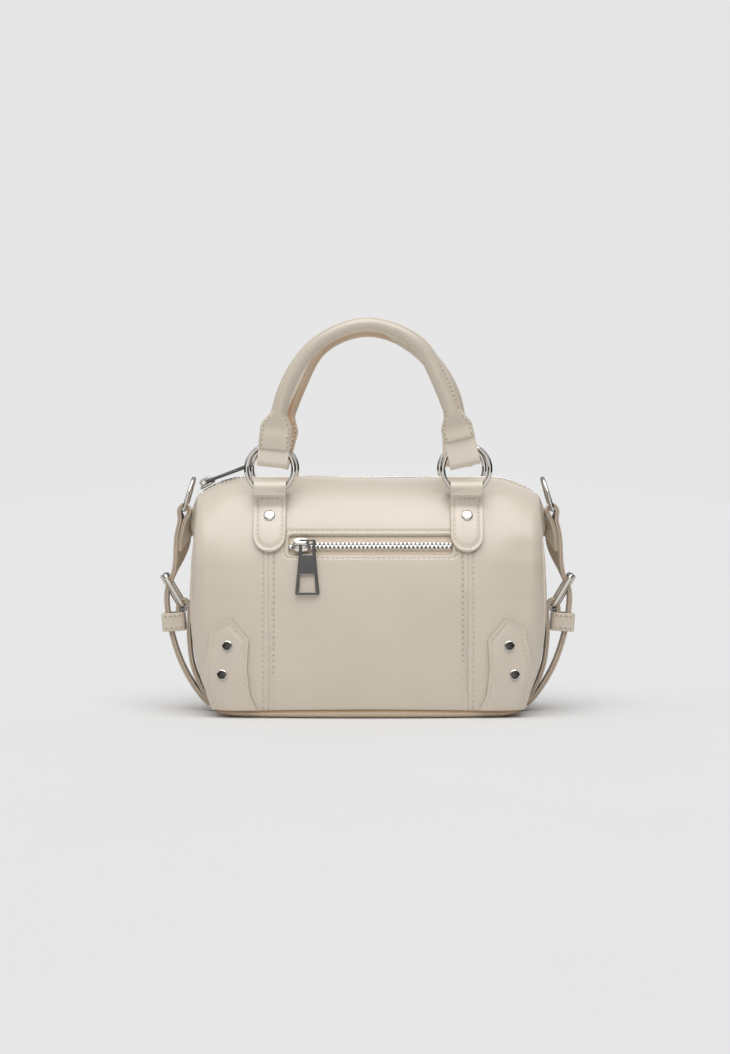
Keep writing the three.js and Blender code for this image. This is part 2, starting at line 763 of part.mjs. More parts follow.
// The pull: a flat tapered plate with an eye at the top and a window at the foot
function pullGeometry() {
  const { thickness, length, top, eyeHalf, topHalf, footHalf, wire, chamfer } = PULL;
  const outline = new THREE.Shape([
    new THREE.Vector2(topHalf - chamfer, top),
    new THREE.Vector2(chamfer - topHalf, top),
    new THREE.Vector2(-topHalf, top - chamfer),
    new THREE.Vector2(-topHalf, PULL_EYE.shoulder),
    new THREE.Vector2(-footHalf, -length),
    new THREE.Vector2(footHalf, -length),
    new THREE.Vector2(topHalf, PULL_EYE.shoulder),
    new THREE.Vector2(topHalf, top - chamfer),
  ]);
  const opening = (upperHalf, upper, lowerHalf, lower) =>
    new THREE.Path([
      new THREE.Vector2(-upperHalf, upper),
      new THREE.Vector2(upperHalf, upper),
      new THREE.Vector2(lowerHalf, lower),
      new THREE.Vector2(-lowerHalf, lower),
    ]);
  outline.holes.push(opening(eyeHalf, top - wire, eyeHalf, PULL_EYE.low));
  const { highHalf, high, lowHalf, low } = PULL_WINDOW;
  outline.holes.push(opening(highHalf, high, lowHalf, low));
  const geometry = new THREE.ExtrudeGeometry(outline, { depth: thickness, bevelEnabled: false });
  return geometry.translate(0, 0, -thickness / 2);
}

const SLIDER_SEAT = CHAIN.proud + SLIDER.lift;
const PULL_SEAT = SLIDER_SEAT + SLIDER.plate + SLIDER.slot / 2;

// The pocket zip: tape behind the slot, teeth in it, the slider at its left end with the pull hanging
function addPocketZip() {
  const [left, right] = [POCKET.left - TAPE.pastSlot, POCKET.right + TAPE.pastSlot];
  const behind = -(WALL + GAP);
  const tapeRows = [POCKET.low - TAPE.pastSlot, TAPE.bendLevel, POCKET.high + TAPE.pastSlot / 2];
  addPiece(
    'pocket_zip_tape',
    surfaceLayer(
      tapeRows.map((level) => ({ level, left, right })),
      evenShares(TAPE.columns),
      behind - TAPE.thickness,
      behind,
    ),
    cloth,
  );
  const chainEnds = { left: POCKET.left + GAP * 2, right: POCKET.right - GAP * 2 };
  const chainLevels = [CHAIN.pocketLevel - CHAIN.half, CHAIN.pocketLevel + CHAIN.half];
  const chainRows = chainLevels.map((level) => ({ level, ...chainEnds }));
  const chainLow = CHAIN.proud - CHAIN.thickness;
  const chain = surfaceLayer(chainRows, evenShares(TAPE.columns), chainLow, CHAIN.proud);
  addPiece('pocket_zip_chain', chain, metal);
  const bridgeHalf = SLIDER.pocketBridgeHalf;
  const sliderX = POCKET_PULL.x - bridgeHalf + SLIDER.leg / 2;
  const seat = seatOn(sliderX, CHAIN.pocketLevel, SLIDER_SEAT, -1);
  const slider = addPiece('pocket_zip_slider', sliderGeometry(bridgeHalf), metal);
  slider.position.copy(seat.position);
  slider.rotation.x = Math.acos(seat.normal.z);
  const pull = addPiece('pocket_zip_pull', pullGeometry(), metal);
  pull.position.copy(seatOn(POCKET_PULL.x, CHAIN.pocketLevel, PULL_SEAT, -1).position);
  pull.rotation.x = Math.PI / 2 - POCKET_PULL.tilt;
}

// A place on the zip line with the slope there
function onZipLine(x, lift) {
  const step = 0.01;
  const height = (at) => ZIP_LINE.level - zipFall(at);
  const slope = Math.atan2(height(x + step) - height(x - step), step * 2);
  const position = new THREE.Vector3(x - Math.sin(slope) * lift, 0, height(x) + Math.cos(slope) * lift);
  return { position, slope };
}

// A strip along the zip line
function zipStrip(end, half, low, high) {
  const flat = ZIP_LINE.fallStart;
  const falling = evenShares(ZIP_LINE.fallSpans).map((share) => THREE.MathUtils.lerp(flat, end, share));
  const xs = [...falling.map((x) => -x).reverse(), ...falling];
  const rings = xs.map((x) => {
    const corners = [[low, -half], [high, -half], [high, half], [low, half]];
    return corners.map(([lift, y]) => onZipLine(x, lift).position.setY(y));
  });
  return loft(rings);
}

// The top zip: the slider at the left end with its pull lying along the zip
function addTopZip() {
  const tapeTop = -(WALL + TAPE.topDrop);
  const end = ZIP_LINE.end - WALL;
  addPiece('top_zip_tape', zipStrip(end, TAPE.topHalf, tapeTop - TAPE.thickness, tapeTop), cloth);
  addPiece('top_zip_chain', zipStrip(end - GAP, CHAIN.half, tapeTop + GAP, CHAIN.proud), metal);
  const { position, slope } = onZipLine(TOP_SLIDER_X, SLIDER_SEAT);
  const slider = addPiece('top_zip_slider', sliderGeometry(SLIDER.topBridgeHalf), metal);
  slider.position.copy(position);
  slider.rotation.y = -slope;
  const pull = addPiece('top_zip_pull', pullGeometry(), metal);
  const along = new THREE.Vector3(Math.cos(TOP_PULL_SLOPE), 0, Math.sin(TOP_PULL_SLOPE));
  const raised = new THREE.Vector3(-along.z, 0, along.x);
  const lying = new THREE.Matrix4().makeBasis(AXIS_Y, along.clone().negate(), raised);
  pull.quaternion.setFromRotationMatrix(lying);
  const eyeBar = onZipLine(TOP_SLIDER_X, PULL_SEAT).position;
  pull.position.copy(eyeBar).addScaledVector(along, PULL.top - PULL.wire / 2);
}

// A strap along a route in the plane of the bag's ends
function strap(route, thickness, side) {
  const points = route.map(({ x, z }) => new THREE.Vector3(side * x, 0, z));
  const path = new THREE.CatmullRomCurve3(points).getPoints(STRAP.stepsPerSpan * (route.length - 1));
  const last = path.length - 1;
  const rings = path.map((point, k) => {
    const tangent = path[Math.min(last, k + 1)].clone().sub(path[Math.max(0, k - 1)]).normalize();
    const across = tangent.cross(AXIS_Y);
    const corners = [[-1, -1], [1, -1], [1, 1], [-1, 1]];
    return corners.map(([a, b]) => {
      const corner = point.clone().addScaledVector(across, (a * thickness) / 2);
      return corner.addScaledVector(AXIS_Y, (b * STRAP.width) / 2);
    });
  });
  return loft(rings);
}

// The D-ring stands on its bar, in the plane of y and z
function dRingGeometry() {
  const { half, bend, legs, height, wire, sides, arcSteps } = D_RING;
  const bar = [new THREE.Vector3(0, bend - half, 0), new THREE.Vector3(0, half - bend, 0)];
  const arc = Array.from({ length: arcSteps + 1 }, (_, k) => {
    const angle = (k / arcSteps) * Math.PI;
    return new THREE.Vector3(0, half * Math.cos(angle), legs + (height - legs) * Math.sin(angle));
  });
  const corners = [new THREE.Vector3(0, half, bend), new THREE.Vector3(0, -half, bend)];
  return wireAlong([...bar, corners[0], ...arc, corners[1]], AXIS_X, wire, sides, true);
}

// The buckle's frame stands on its lower bar, in the plane of y and z
function buckleFrameGeometry() {
  const { length, half, corner, cornerSpans, wire, sides } = BUCKLE;
  const turns = [
    { y: half - corner, z: corner, from: -Math.PI / 2 },
    { y: half - corner, z: length - corner, from: 0 },
    { y: corner - half, z: length - corner, from: Math.PI / 2 },
    { y: corner - half, z: corner, from: Math.PI },
  ];
  const path = turns.flatMap(({ y, z, from }) =>
    evenShares(cornerSpans).map((share) => {
      const angle = from + (share * Math.PI) / 2;
      return new THREE.Vector3(0, y + corner * Math.cos(angle), z + corner * Math.sin(angle));
    }),
  );
  return wireAlong(path, AXIS_X, wire, sides, true);
}

// The prong wraps the lower bar and rests on the outside of the upper bar
function prongGeometry(radius) {
  const { wrap, wrapSpans, past, sides } = PRONG;
  const path = evenShares(wrapSpans).map((share) => {
    const angle = THREE.MathUtils.lerp(-Math.PI, 0, share);
    return new THREE.Vector3(wrap * Math.cos(angle), 0, wrap * Math.sin(angle));
  });
  path.push(new THREE.Vector3(wrap, 0, BUCKLE.length / 2));
  path.push(new THREE.Vector3(wrap, 0, BUCKLE.length + past));
  return wireAlong(path, AXIS_Y, radius, sides, false);
}

// Puts a right-hand piece, built upright on its bar, at its lean on either end of the bag
function placeOnEnd(geometry, { x, z }, lean, side) {
  const angle = THREE.MathUtils.degToRad(lean);
  const placed = geometry.clone().rotateY(angle).translate(x, 0, z);
  return side > 0 ? placed : mirrored(placed);
}

function mirrored(geometry) {
  const flipped = mergeVertices(geometry, WELD).scale(-1, 1, 1);
  const turned = Array.from(flipped.index.array);
  for (let k = 0; k < turned.length; k += 3) {
    [turned[k + 1], turned[k + 2]] = [turned[k + 2], turned[k + 1]];
  }
  flipped.setIndex(turned);
  return flipped;
}

// A band round both straps below the buckle
function keeperGeometry() {
  const { halfX, halfY, height, wall, round, roundSteps } = KEEPER;
  const outline = (inset) => {
    const [x, y, r] = [halfX - inset, halfY - inset, round - inset / 2];
    const path = new THREE.Shape();
    path.absarc(x - r, y - r, r, 0, Math.PI / 2);
    path.absarc(r - x, y - r, r, Math.PI / 2, Math.PI);
    path.absarc(r - x, r - y, r, Math.PI, Math.PI * 1.5);
    path.absarc(x - r, r - y, r, Math.PI * 1.5, Math.PI * 2);
    return path;
  };
  const band = outline(0);
  band.holes.push(new THREE.Path(outline(wall).getPoints(roundSteps)));
  const settings = { depth: height, bevelEnabled: false, curveSegments: roundSteps };
  const geometry = new THREE.ExtrudeGeometry(band, settings);
  geometry.deleteAttribute('normal');
  geometry.deleteAttribute('uv');
  return geometry.translate(0, 0, -height / 2);
}

function addEndStraps(name, side) {
  const prongHole = placeOnEnd(prongGeometry(PRONG.wire + PRONG.hole), BUCKLE, BUCKLE.lean, side);
  const upper = strap(UPPER_STRAP_ROUTE, STRAP.upper, side);
  const lower = strap(LOWER_STRAP_ROUTE, STRAP.lower, side);
  addPiece(`${name}_upper_strap`, cut(upper, prongHole), leather);
  addPiece(`${name}_lower_strap`, cut(lower, prongHole), leather);
  addPiece(`${name}_d_ring`, placeOnEnd(dRingGeometry(), D_RING, -D_RING.lean, side), metal);
  addPiece(`${name}_buckle_frame`, placeOnEnd(buckleFrameGeometry(), BUCKLE, BUCKLE.lean, side), metal);
  addPiece(`${name}_buckle_prong`, placeOnEnd(prongGeometry(PRONG.wire), BUCKLE, BUCKLE.lean, side), metal);
  addPiece(`${name}_keeper`, placeOnEnd(keeperGeometry(), KEEPER, KEEPER.tilt, side), leather);
}

addBody();
addTopZip();
addPocketZip();
addHandles();
addPatches();
addEndStraps('left', -1);
addEndStraps('right', 1);

export default bag;
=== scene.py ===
import math
from types import SimpleNamespace as Sizes

import bpy
import numpy as np
from mathutils import Matrix, Vector


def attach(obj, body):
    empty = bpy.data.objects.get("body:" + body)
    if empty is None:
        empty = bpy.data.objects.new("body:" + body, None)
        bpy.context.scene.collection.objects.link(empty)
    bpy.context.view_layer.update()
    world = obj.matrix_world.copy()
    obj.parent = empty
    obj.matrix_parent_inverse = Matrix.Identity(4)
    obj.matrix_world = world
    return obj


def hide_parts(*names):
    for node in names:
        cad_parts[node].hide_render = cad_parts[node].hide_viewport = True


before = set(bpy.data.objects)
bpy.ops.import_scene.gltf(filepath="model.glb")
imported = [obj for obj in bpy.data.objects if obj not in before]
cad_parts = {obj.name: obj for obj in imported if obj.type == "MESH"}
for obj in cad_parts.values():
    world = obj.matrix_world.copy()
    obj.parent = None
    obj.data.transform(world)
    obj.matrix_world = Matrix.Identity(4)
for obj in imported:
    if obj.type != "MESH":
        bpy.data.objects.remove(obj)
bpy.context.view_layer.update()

# Sizes in millimetres, in the frame of the solids
MM = 0.001
GAP = 0.35
WALL = 1.8
FACES = {"front": -1, "back": 1}
SIDES = {"left": -1, "right": 1}
RIGHT, BACK, UP = np.eye(3)

# Body: sections by level, with the same columns as the solids
SECTION_COLUMNS = ("level", "half_width", "half_depth", "end_depth", "corner", "droop", "dish", "beak")
SECTION_ROWS = np.array([
    (0, 88, 50, 44, 10, 0, 0, 0),
    (2, 92.4, 53, 46.6, 10, 0, 0.3, 0),
    (5, 96, 54.9, 48.3, 10, 0, 0.8, 0),
    (14, 99.6, 56.2, 49.6, 10.5, 0, 1.8, 0),
    (30, 104.8, 57, 50.6, 11, 0, 2.5, 0),
    (52, 108.4, 57.2, 50.8, 11, 0, 2.2, 0),
    (76, 110.2, 56.6, 49.8, 11, 0, 0.5, 0),
    (94, 109.8, 54.6, 47.2, 10, 0.04, -2, 0.4),
    (108, 108.9, 50.8, 43, 9, 0.15, -4.5, 5.2),
    (120, 108.1, 45.6, 37, 7.5, 0.36, -5, 8.2),
    (131, 107.5, 38, 29, 6, 0.6, -4, 7.2),
    (139.5, 107, 28.5, 20.5, 4.2, 0.82, -2, 4),
    (145, 106.5, 17, 12.5, 2.6, 0.95, -0.5, 1.5),
    (147.2, 106, 7, 7, 1.5, 1, 0, 0),
], float)
TOP_LEVEL = SECTION_ROWS[-1, 0]
TOP_RUN = 4.65
BASE_SEAM_LEVEL = 3.4
BASE_BOW = Sizes(rise=1.7, half=78, fade=26)
UPRIGHT_SEAM_X = 61
CORNER_ANGLE = math.radians(65)
FRONT_BOW = 2.4
END_ROUNDING = 6
BEAK_WIDTH = 7
ZIP_LINE = Sizes(level=147.2, fall_start=76, end=106, fall=10.5)

# Seams and stitch rows
SEAM_ROLL = 1.3
UPRIGHT_ROLL = 0.22
POCKET_ROLL = 1.2
ROW_OFFSET = 3.3
ROW_DIP = Sizes(depth=0.3, width=0.8)
SEWN_DIP = Sizes(depth=0.45, width=0.95)
PUCKER = Sizes(rise=0.09, reach=4.2, power=4)
TOP_ROW = 3.0
SEAM_ROW = Sizes(low=6.8, high=102, top_half=101)
END_FOLDS = Sizes(rise=0.5, wave=9, skew=5, low=70, high=110, seam_run=45)
PITCH = Sizes(seam=3.5, pocket=3.1, chape=3.0, patch=3.4, handle=2.9, top=3.1, keeper=3.2)
THREAD_SIZE = Sizes(radius=0.38, gap=0.9, rise=0.14, sink=0.42, steps=6, sides=6, arch=0.6, thin=0.6,
                    hole=0.48, hole_sides=8, hole_deep=0.25, hole_proud=0.02)

# Zips
POCKET = Sizes(left=-48.6, right=51.4, low=99.7, high=111.8, round=2.5)
POCKET_FRAME = Sizes(left=-51.4, right=54.2, low=98.2, high=114.6, round=3)
TAPE = Sizes(thickness=0.9, past=3.6, top_half=9, top_drop=1.3, carrier_half=2.2)
CORD = Sizes(radius=0.55, sides=8, pocket_reach=2.1, pocket_drop=0.7, top_reach=2.3, top_drop=0.9)
CHAIN = Sizes(thickness=2, proud=0.2, level=105.4, pitch=1.27, start=1.2, stop=1)
TOOTH = Sizes(half=(0.95, 1.35, 0.95), power=4, around=12, high=7, aside=0.8)
SLIDER = Sizes(half_length=5.3, half_width=4.5, plate=1.9, lift=0.55, leg=1.5, slot=2.4, crown=1.4,
               bridge=2.6, bend=1.5, pocket_bridge=4.7, top_bridge=4.3)
SLIDER_CAP = Sizes(length=0.72, width=0.55, half=0.8, sink=0.15)
PULL = Sizes(thickness=1.4, length=29.5, top=2.9, eye_half=3.2, top_half=5.1, foot_half=7.4, wire=1.4,
             chamfer=1, foot_chamfer=0.8, eye_low=-6.6, shoulder=-7.8, bevel=0.34, pocket_length=31.4,
             cross_edge=0.4, crease=30)
PULL_WINDOW = Sizes(high=-18.6, rail=2.1, high_half=4.5, low_half=5.2)
POCKET_PULL = Sizes(x=-36.9, tilt=math.radians(6))
TOP_SLIDER_X = -100
TOP_PULL_SLOPE = math.radians(20.7)
TOP_PULL_ROLL = math.radians(5)
SLIDER_SEAT = CHAIN.proud + SLIDER.lift
PULL_SEAT = SLIDER_SEAT + SLIDER.plate + SLIDER.slot / 2

# Chapes, rings and handles
RING = Sizes(x=60.3, y=38, z=152, radius=14.5, wire=1.5)
CHAPE = Sizes(half=10, low=101, leave=126, meet=138.3, thick=2.4, loop_z=139.8, loop_radius=4.95,
              loop_thick=1.7, loop_back=-40, rivet=122.2, inset=2.5, row=132.4, row_gap=1.5, roll_foot=136,
              upright_run=12)
TAB_TIP = Sizes(drops=(0.02, 0.1, 0.25, 0.5, 0.85, 1.3), rest=1.9, straight=112, taper=0.9, thin=0.05)
RIVET = Sizes(rim=0.275, square=4, round=0.6, patch_tilt=0.16, crown_row=6, sides=28, sink=0.2,
              foot=((0.9, -0.25), (1, -0.1)), start=(0.2, 0.1, 0.97),
              shares=(1, 0.985, 0.95, 0.9, 0.82, 0.7, 0.55, 0.38, 0.2, 0.06))
RIVET_HEADS = {"patch": Sizes(radius=3.2, dome=0.95), "chape": Sizes(radius=3.5, dome=1.1)}
HANDLE_ARCH = ((-57.95, 163.7), (-55.2, 186.3), (-48, 207.8), (-31.8, 229.2), (-0.6, 241.2),
               (31, 229.2), (45, 207.8), (52.6, 188.4), (57.45, 163.7))
HANDLE = Sizes(roll_low=4.8, roll_high=4.4, flat_half=9.75, end_half=4.8, neck_half=3.9, flat_power=6.0,
               roll_power=2.0, steps=150, sides=96, wall=1.4, lip=0.5, end_round=0.45, depth=7.3,
               lean_run=8.7, right_trim=6.2, right_more=0.9, more_low=10, more_high=45, soften=40,
               crease=55)
HANDLE_SEAM = Sizes(turn=4.75, gone=3.0, inner=3.05, inner_fade=0.2, outer_fade=0.12, leave=0.52, end=0.66,
                    ridge=0.05, ridge_width=0.13, sink=0.11, rolled=0.3, tan=0.5)
# Where the handle's flat ends take the painted shade of an opening: its levels and half turn
HANDLE_MOUTH = Sizes(low=170, high=204, half=0.85)
HANDLE_ROWS = Sizes(low=2.2, high=19, inset=2.1, leg_low=24, leg_high=46, leg_turn=0.75)
HANDLE_LEVELS = Sizes(fork=171, flat=177, rolled=188, apex=240.3)
HANDLE_SWAY = {"front": Sizes(left=0, right=-1.8), "back": Sizes(left=5.5, right=5.5)}
LOOP = Sizes(half=9.5, low=-10.7, high=11.5, inner=1.8, outer=3.3, bulge=0.8, mouth=2.5)

# Corner patches: level, inner edge and outer edge, on the right
PATCH_ROWS = np.array([(5.6, 68, 94.8), (14, 72, 97.6), (30, 73.8, 100), (48, 72.7, 96.8), (52, 76.3, 96.2),
                       (54.5, 78.6, 95.9), (60.5, 83.5, 84.7)])
PATCH = Sizes(lift=0.6, thick=1.5, inset=2.3, row_foot=2.5, sharpest=0.35)
PATCH_RIVETS = ((85.7, 44.4), (88.9, 26.8))

# End straps, as seen on the right
STRAP = Sizes(half=7, upper=2.7, lower=2.4, twist=math.radians(36), twist_low=84, twist_full=108,
              twist_high=126, slant=0.9, slant_low=107, slant_high=119)
UPPER_ROUTE = ((114.2, 106.5), (114, 113), (113.6, 119.5), (112.4, 126.2), (115.4, 129.5), (118.4, 126.2),
               (116.9, 118.5), (116.8, 108), (119, 96.5), (122, 87), (126.3, 75.5), (125.7, 60),
               (120.2, 37.5), (113.8, 22.9), (105, 9.6), (99.6, 4))
LOWER_ROUTE = ((118.4, 52.5), (119, 59), (119.1, 66.4), (116, 69.5), (112.9, 66.4), (112.7, 49),
               (110.6, 30), (106.2, 17.5), (99.8, 6.8), (96, 3.4))
D_RING = Sizes(x=115.4, z=126.4, lean=-16.8, half=9.3, bend=1.5, legs=4, height=20.2, wire=1.3)
BUCKLE = Sizes(x=116, z=66.4, lean=30.6, length=22, half=9.3, corner=2.5, wire=1.5)
PRONG = Sizes(wrap=2.9, wire=1.05, past=1.2, rise=2)
KEEPER = Sizes(x=122.1, z=56, lean=4, half_x=7.3, half_y=9.1, height=11.5, wall=1.5, round=2, row_half=4.6,
               row_inset=2)

# Counts of points along curves and round wires
COUNTS = Sizes(seam_row=140, top_row=300, frame_row=(160, 40), tab_tip=12, tab=34, roll=54, roll_leg=7,
               row=30, row_arc=40, ring=72, ring_sides=18, wire_sides=14, prong_sides=12, span=40,
               loop_leg=30, loop=26, flat_row=24, leg_row=30, patch=66, patch_row=240, corner=8,
               bail_bend=9, tape=(70, 14), top_tape=90, strap_span=12, bow=40, bar=12, bar_bend=3,
               wrap=20, shank=12, keeper_row=16)
TINY = 1e-12


# Small helpers

def lerp(a, b, share):
    return a + (b - a) * share


def smoothstep(value, low, high):
    share = np.clip((value - low) / (high - low), 0, 1)
    return share * share * (3 - 2 * share)


def bell(value, width, power=2):
    return np.exp(-((value / width) ** power))


def unit(vectors):
    return vectors / np.maximum(np.linalg.norm(vectors, axis=-1, keepdims=True), TINY)


def turn_y(angle):
    cos, sin = math.cos(angle), math.sin(angle)
    return np.array([[cos, 0, sin], [0, 1, 0], [-sin, 0, cos]])


# Curves

def table_slopes(xs, ys):
    step = np.diff(xs)
    rise = np.diff(ys) / step
    slopes = np.zeros(len(xs))
    before = 2 * step[1:] + step[:-1]
    after = step[1:] + 2 * step[:-1]
    same = rise[:-1] * rise[1:] > 0
    low = np.where(same, rise[:-1], 1)
    high = np.where(same, rise[1:], 1)
    slopes[1:-1] = np.where(same, (before + after) / (before / low + after / high), 0)
    slopes[0] = rise[0]
    slopes[-1] = rise[-1]
    return slopes


def spline(points, per_span):
    """A centripetal curve through the points, sampled evenly between each two."""
    points = np.asarray(points, float)
    ends = np.vstack([2 * points[0] - points[1], points, 2 * points[-1] - points[-2]])
    run = np.sqrt(np.linalg.norm(np.diff(ends, axis=0), axis=1))
    t = np.linspace(0, 1, per_span, endpoint=False)[:, None]
    spans = []
    for k in range(len(points) - 1):
        p0, p1, p2, p3 = ends[k:k + 4]
        d0, d1, d2 = run[k:k + 3]
        start = ((p1 - p0) / d0 - (p2 - p0) / (d0 + d1) + (p2 - p1) / d1) * d1
        stop = ((p2 - p1) / d1 - (p3 - p1) / (d1 + d2) + (p3 - p2) / d2) * d1
        bend = 2 * p1 - 2 * p2 + start + stop
        spans.append(p1 + start * t + (3 * p2 - 3 * p1 - 2 * start - stop) * t ** 2 + bend * t ** 3)
    return np.vstack([*spans, points[-1:]])


def arc_length(path):
    return np.concatenate([[0], np.cumsum(np.linalg.norm(np.diff(path, axis=0), axis=1))])


def along_path(values, lengths, at):
    """Values given along a path, read at other distances."""
    return np.stack([np.interp(at, lengths, column) for column in values.T], axis=-1)


def spaced(path, count):
    lengths = arc_length(path)
    return along_path(path, lengths, np.linspace(0, lengths[-1], count))


def heading_along(path, endless=False):
    if endless:
        return unit(np.roll(path, -1, axis=0) - np.roll(path, 1, axis=0))
    return unit(np.gradient(path, axis=0))


def arc(center, radius, start, stop, count):
    """Points on an arc in a plane, between two angles in degrees."""
    turn = np.radians(np.linspace(start, stop, count))
    return np.asarray(center) + np.asarray(radius) * np.stack([np.cos(turn), np.sin(turn)], axis=-1)


def circle(sides, aside, other):
    """A circle in the plane of two directions, or one for each pair of directions."""
    turn = np.arange(sides)[:, None] / sides * 2 * np.pi
    return np.cos(turn) * np.asarray(aside)[..., None, :] + np.sin(turn) * np.asarray(other)[..., None, :]


def in_space(points, axes):
    """Points of a plane, placed in space along two axes."""
    return points[:, :1] * axes[0] + points[:, 1:] * axes[1]


def rounded_loop(half_x, half_y, radius):
    """A closed path round a rectangle with round corners, about the origin."""
    corners = []
    for x, y, start in ((1, 1, 0), (-1, 1, 90), (-1, -1, 180), (1, -1, 270)):
        center = (x * (half_x - radius), y * (half_y - radius))
        corners.append(arc(center, radius, start, start + 90, COUNTS.corner))
    return np.vstack(corners)


# The body's skin

SECTION_SLOPES = [table_slopes(SECTION_ROWS[:, 0], ys) for ys in SECTION_ROWS.T]
NEAR_SHARE = 0.3
NEAR_RUN = 9
PROBE = 0.05
STATION_PROBE = 0.002


def section(level):
    """The body's section at each level, smooth between the rows of the table."""
    levels = SECTION_ROWS[:, 0]
    k = np.clip(np.searchsorted(levels, level, side="right") - 1, 0, len(levels) - 2)
    step = levels[k + 1] - levels[k]
    t = (level - levels[k]) / step
    found = Sizes()
    for name, ys, slopes in zip(SECTION_COLUMNS, SECTION_ROWS.T, SECTION_SLOPES):
        low = (1 + 2 * t) * (1 - t) ** 2 * ys[k] + t * (1 - t) ** 2 * step * slopes[k]
        high = t * t * (3 - 2 * t) * ys[k + 1] + t * t * (t - 1) * step * slopes[k + 1]
        setattr(found, name, low + high)
    found.straight = found.half_width - found.corner
    found.seam_x = found.half_width - found.corner * (1 - math.sin(CORNER_ANGLE))
    return found


def zip_fall(x):
    run = ZIP_LINE.end - ZIP_LINE.fall_start
    return ZIP_LINE.fall * (np.clip(np.abs(x) - ZIP_LINE.fall_start, 0, None) / run) ** 2


def front_depth(sec, away):
    bow = (sec.half_depth - sec.end_depth) * (away / sec.straight) ** FRONT_BOW
    sine = np.clip((away - sec.straight) / sec.corner, 0, 1)
    return sec.half_depth - bow - sec.corner * (1 - np.sqrt(1 - sine ** 2))


def front_point(x, level):
    sec = section(level)
    away = np.abs(x)
    fall = sec.droop * zip_fall(away / sec.seam_x * ZIP_LINE.end)
    return np.stack([x, -front_depth(sec, away), level - fall], axis=-1)


def end_point(level, share):
    sec = section(level)
    y = -share * front_depth(sec, sec.seam_x)
    rounding = (sec.half_width - sec.seam_x) * (1 - share ** END_ROUNDING)
    beak = sec.beak * bell(y, BEAK_WIDTH)
    x = sec.seam_x + rounding + (sec.dish + beak) * (1 - share ** 2)
    return np.stack([x, y, level - sec.droop * ZIP_LINE.fall], axis=-1)


def skin_point(station, level):
    """A point of the skin at a station round the bag.

    Station 0 is the middle of the front, 1 the upright seam, 2 the corner, 3 the end's seam, 4 its middle.
    """
    sec = section(level)
    flip_x = np.where(station < 0, -1, 1)
    flip_y = np.where(station > 4, -1, 1)
    s = np.abs(station)
    s = np.where(s > 4, 8 - s, s)
    corner_x = sec.straight + sec.corner * np.sin((np.clip(s, 2, 3) - 2) * CORNER_ANGLE)
    near_x = UPRIGHT_SEAM_X + (s - 1) / NEAR_SHARE * NEAR_RUN
    far_x = lerp(UPRIGHT_SEAM_X + NEAR_RUN, sec.straight, (s - 1 - NEAR_SHARE) / (1 - NEAR_SHARE))
    side_x = np.where(s <= 1 + NEAR_SHARE, near_x, np.where(s <= 2, far_x, corner_x))
    front = front_point(np.where(s <= 1, s * UPRIGHT_SEAM_X, side_x), level)
    end = end_point(level, 4 - np.clip(s, 3, 4))
    point = np.where((s > 3)[..., None], end, front)
    return point * np.stack([flip_x, flip_y, np.ones_like(s)], axis=-1)


def normal_of(point_at, along, level, step):
    high = point_at(along, np.minimum(level + PROBE, TOP_LEVEL))
    low = point_at(along, np.maximum(level - PROBE, 0))
    right = point_at(along + step, level) - point_at(along - step, level)
    return unit(np.cross(right, high - low))


def facing(points, face):
    return points * np.array([1, -face, 1])


def on_front(x, level, lift, face=-1):
    """Points and normals on the front or the back, raised off the leather."""
    x, level, lift = np.broadcast_arrays(*(np.asarray(value, float) for value in (x, level, lift)))
    normal = normal_of(front_point, x, level, PROBE)
    point = front_point(x, level) + normal * lift[..., None]
    return facing(point, face), facing(normal, face)


# Relief of the leather: rolled seams, rows that the thread pulls down, soft dents

# Each dent has its x, level, width, height and rise
DENTS = (
    (106, 82, 19, 27, -1.6),
    (96, 103, 12, 7, -0.5),
    (-103, 78, 12, 26, -1.0),
    (90, 147, 15, 6, -1.5),
    (-90, 147, 15, 6, -1.0),
    (0, 52, 42, 30, 0.7),
    (-47.5, 136.3, 3.2, 1.6, 0.8),
    (-73, 136.3, 3.2, 1.6, 0.8),
    (47.5, 136.3, 3.2, 1.6, 0.8),
    (73, 136.3, 3.4, 1.7, 1.0),
    (80, 120, 12, 14, -0.5),
    (-84, 118, 12, 14, -0.5),
    (-25, 128, 30, 6, -0.4),
    (20, 126, 26, 6, -0.3),
    (-34, 147.2, 10, 4, 0.8),
    (20, 147.2, 16, 4, -0.6),
    (78, 146, 8, 5, 0.5),
)


def seam_roll(distance, radius=SEAM_ROLL):
    turned = np.clip(1 - distance / radius, 0, 1)
    return radius * (1 - np.sqrt(1 - turned ** 2))


def row_dip(distance):
    return ROW_DIP.depth * bell(distance, ROW_DIP.width)


def sewn_dip(across, level, rows):
    """How far the thread pulls a layer down, at places near its rows of stitches."""
    spots = np.stack(np.broadcast_arrays(across, level), axis=-1)
    away = np.linalg.norm(spots[:, None] - rows[None], axis=-1).min(axis=1)
    return SEWN_DIP.depth * bell(away, SEWN_DIP.width)


def box_distance(x, level, box):
    """Distance from a rounded box, less than zero inside it."""
    half_x = (box.right - box.left) / 2 - box.round
    half_z = (box.high - box.low) / 2 - box.round
    dx = np.abs(x - (box.right + box.left) / 2) - half_x
    dz = np.abs(level - (box.high + box.low) / 2) - half_z
    outside = np.hypot(np.clip(dx, 0, None), np.clip(dz, 0, None))
    return outside + np.clip(np.maximum(dx, dz), None, 0) - box.round


def base_lift(x):
    return BASE_BOW.rise * np.clip(1 - (x / BASE_BOW.half) ** 2, 0, None)


def lifted(x, level):
    """Levels near the base, raised with the bowed base seam."""
    return level + base_lift(x) * (1 - smoothstep(level, BASE_SEAM_LEVEL, BASE_BOW.fade))


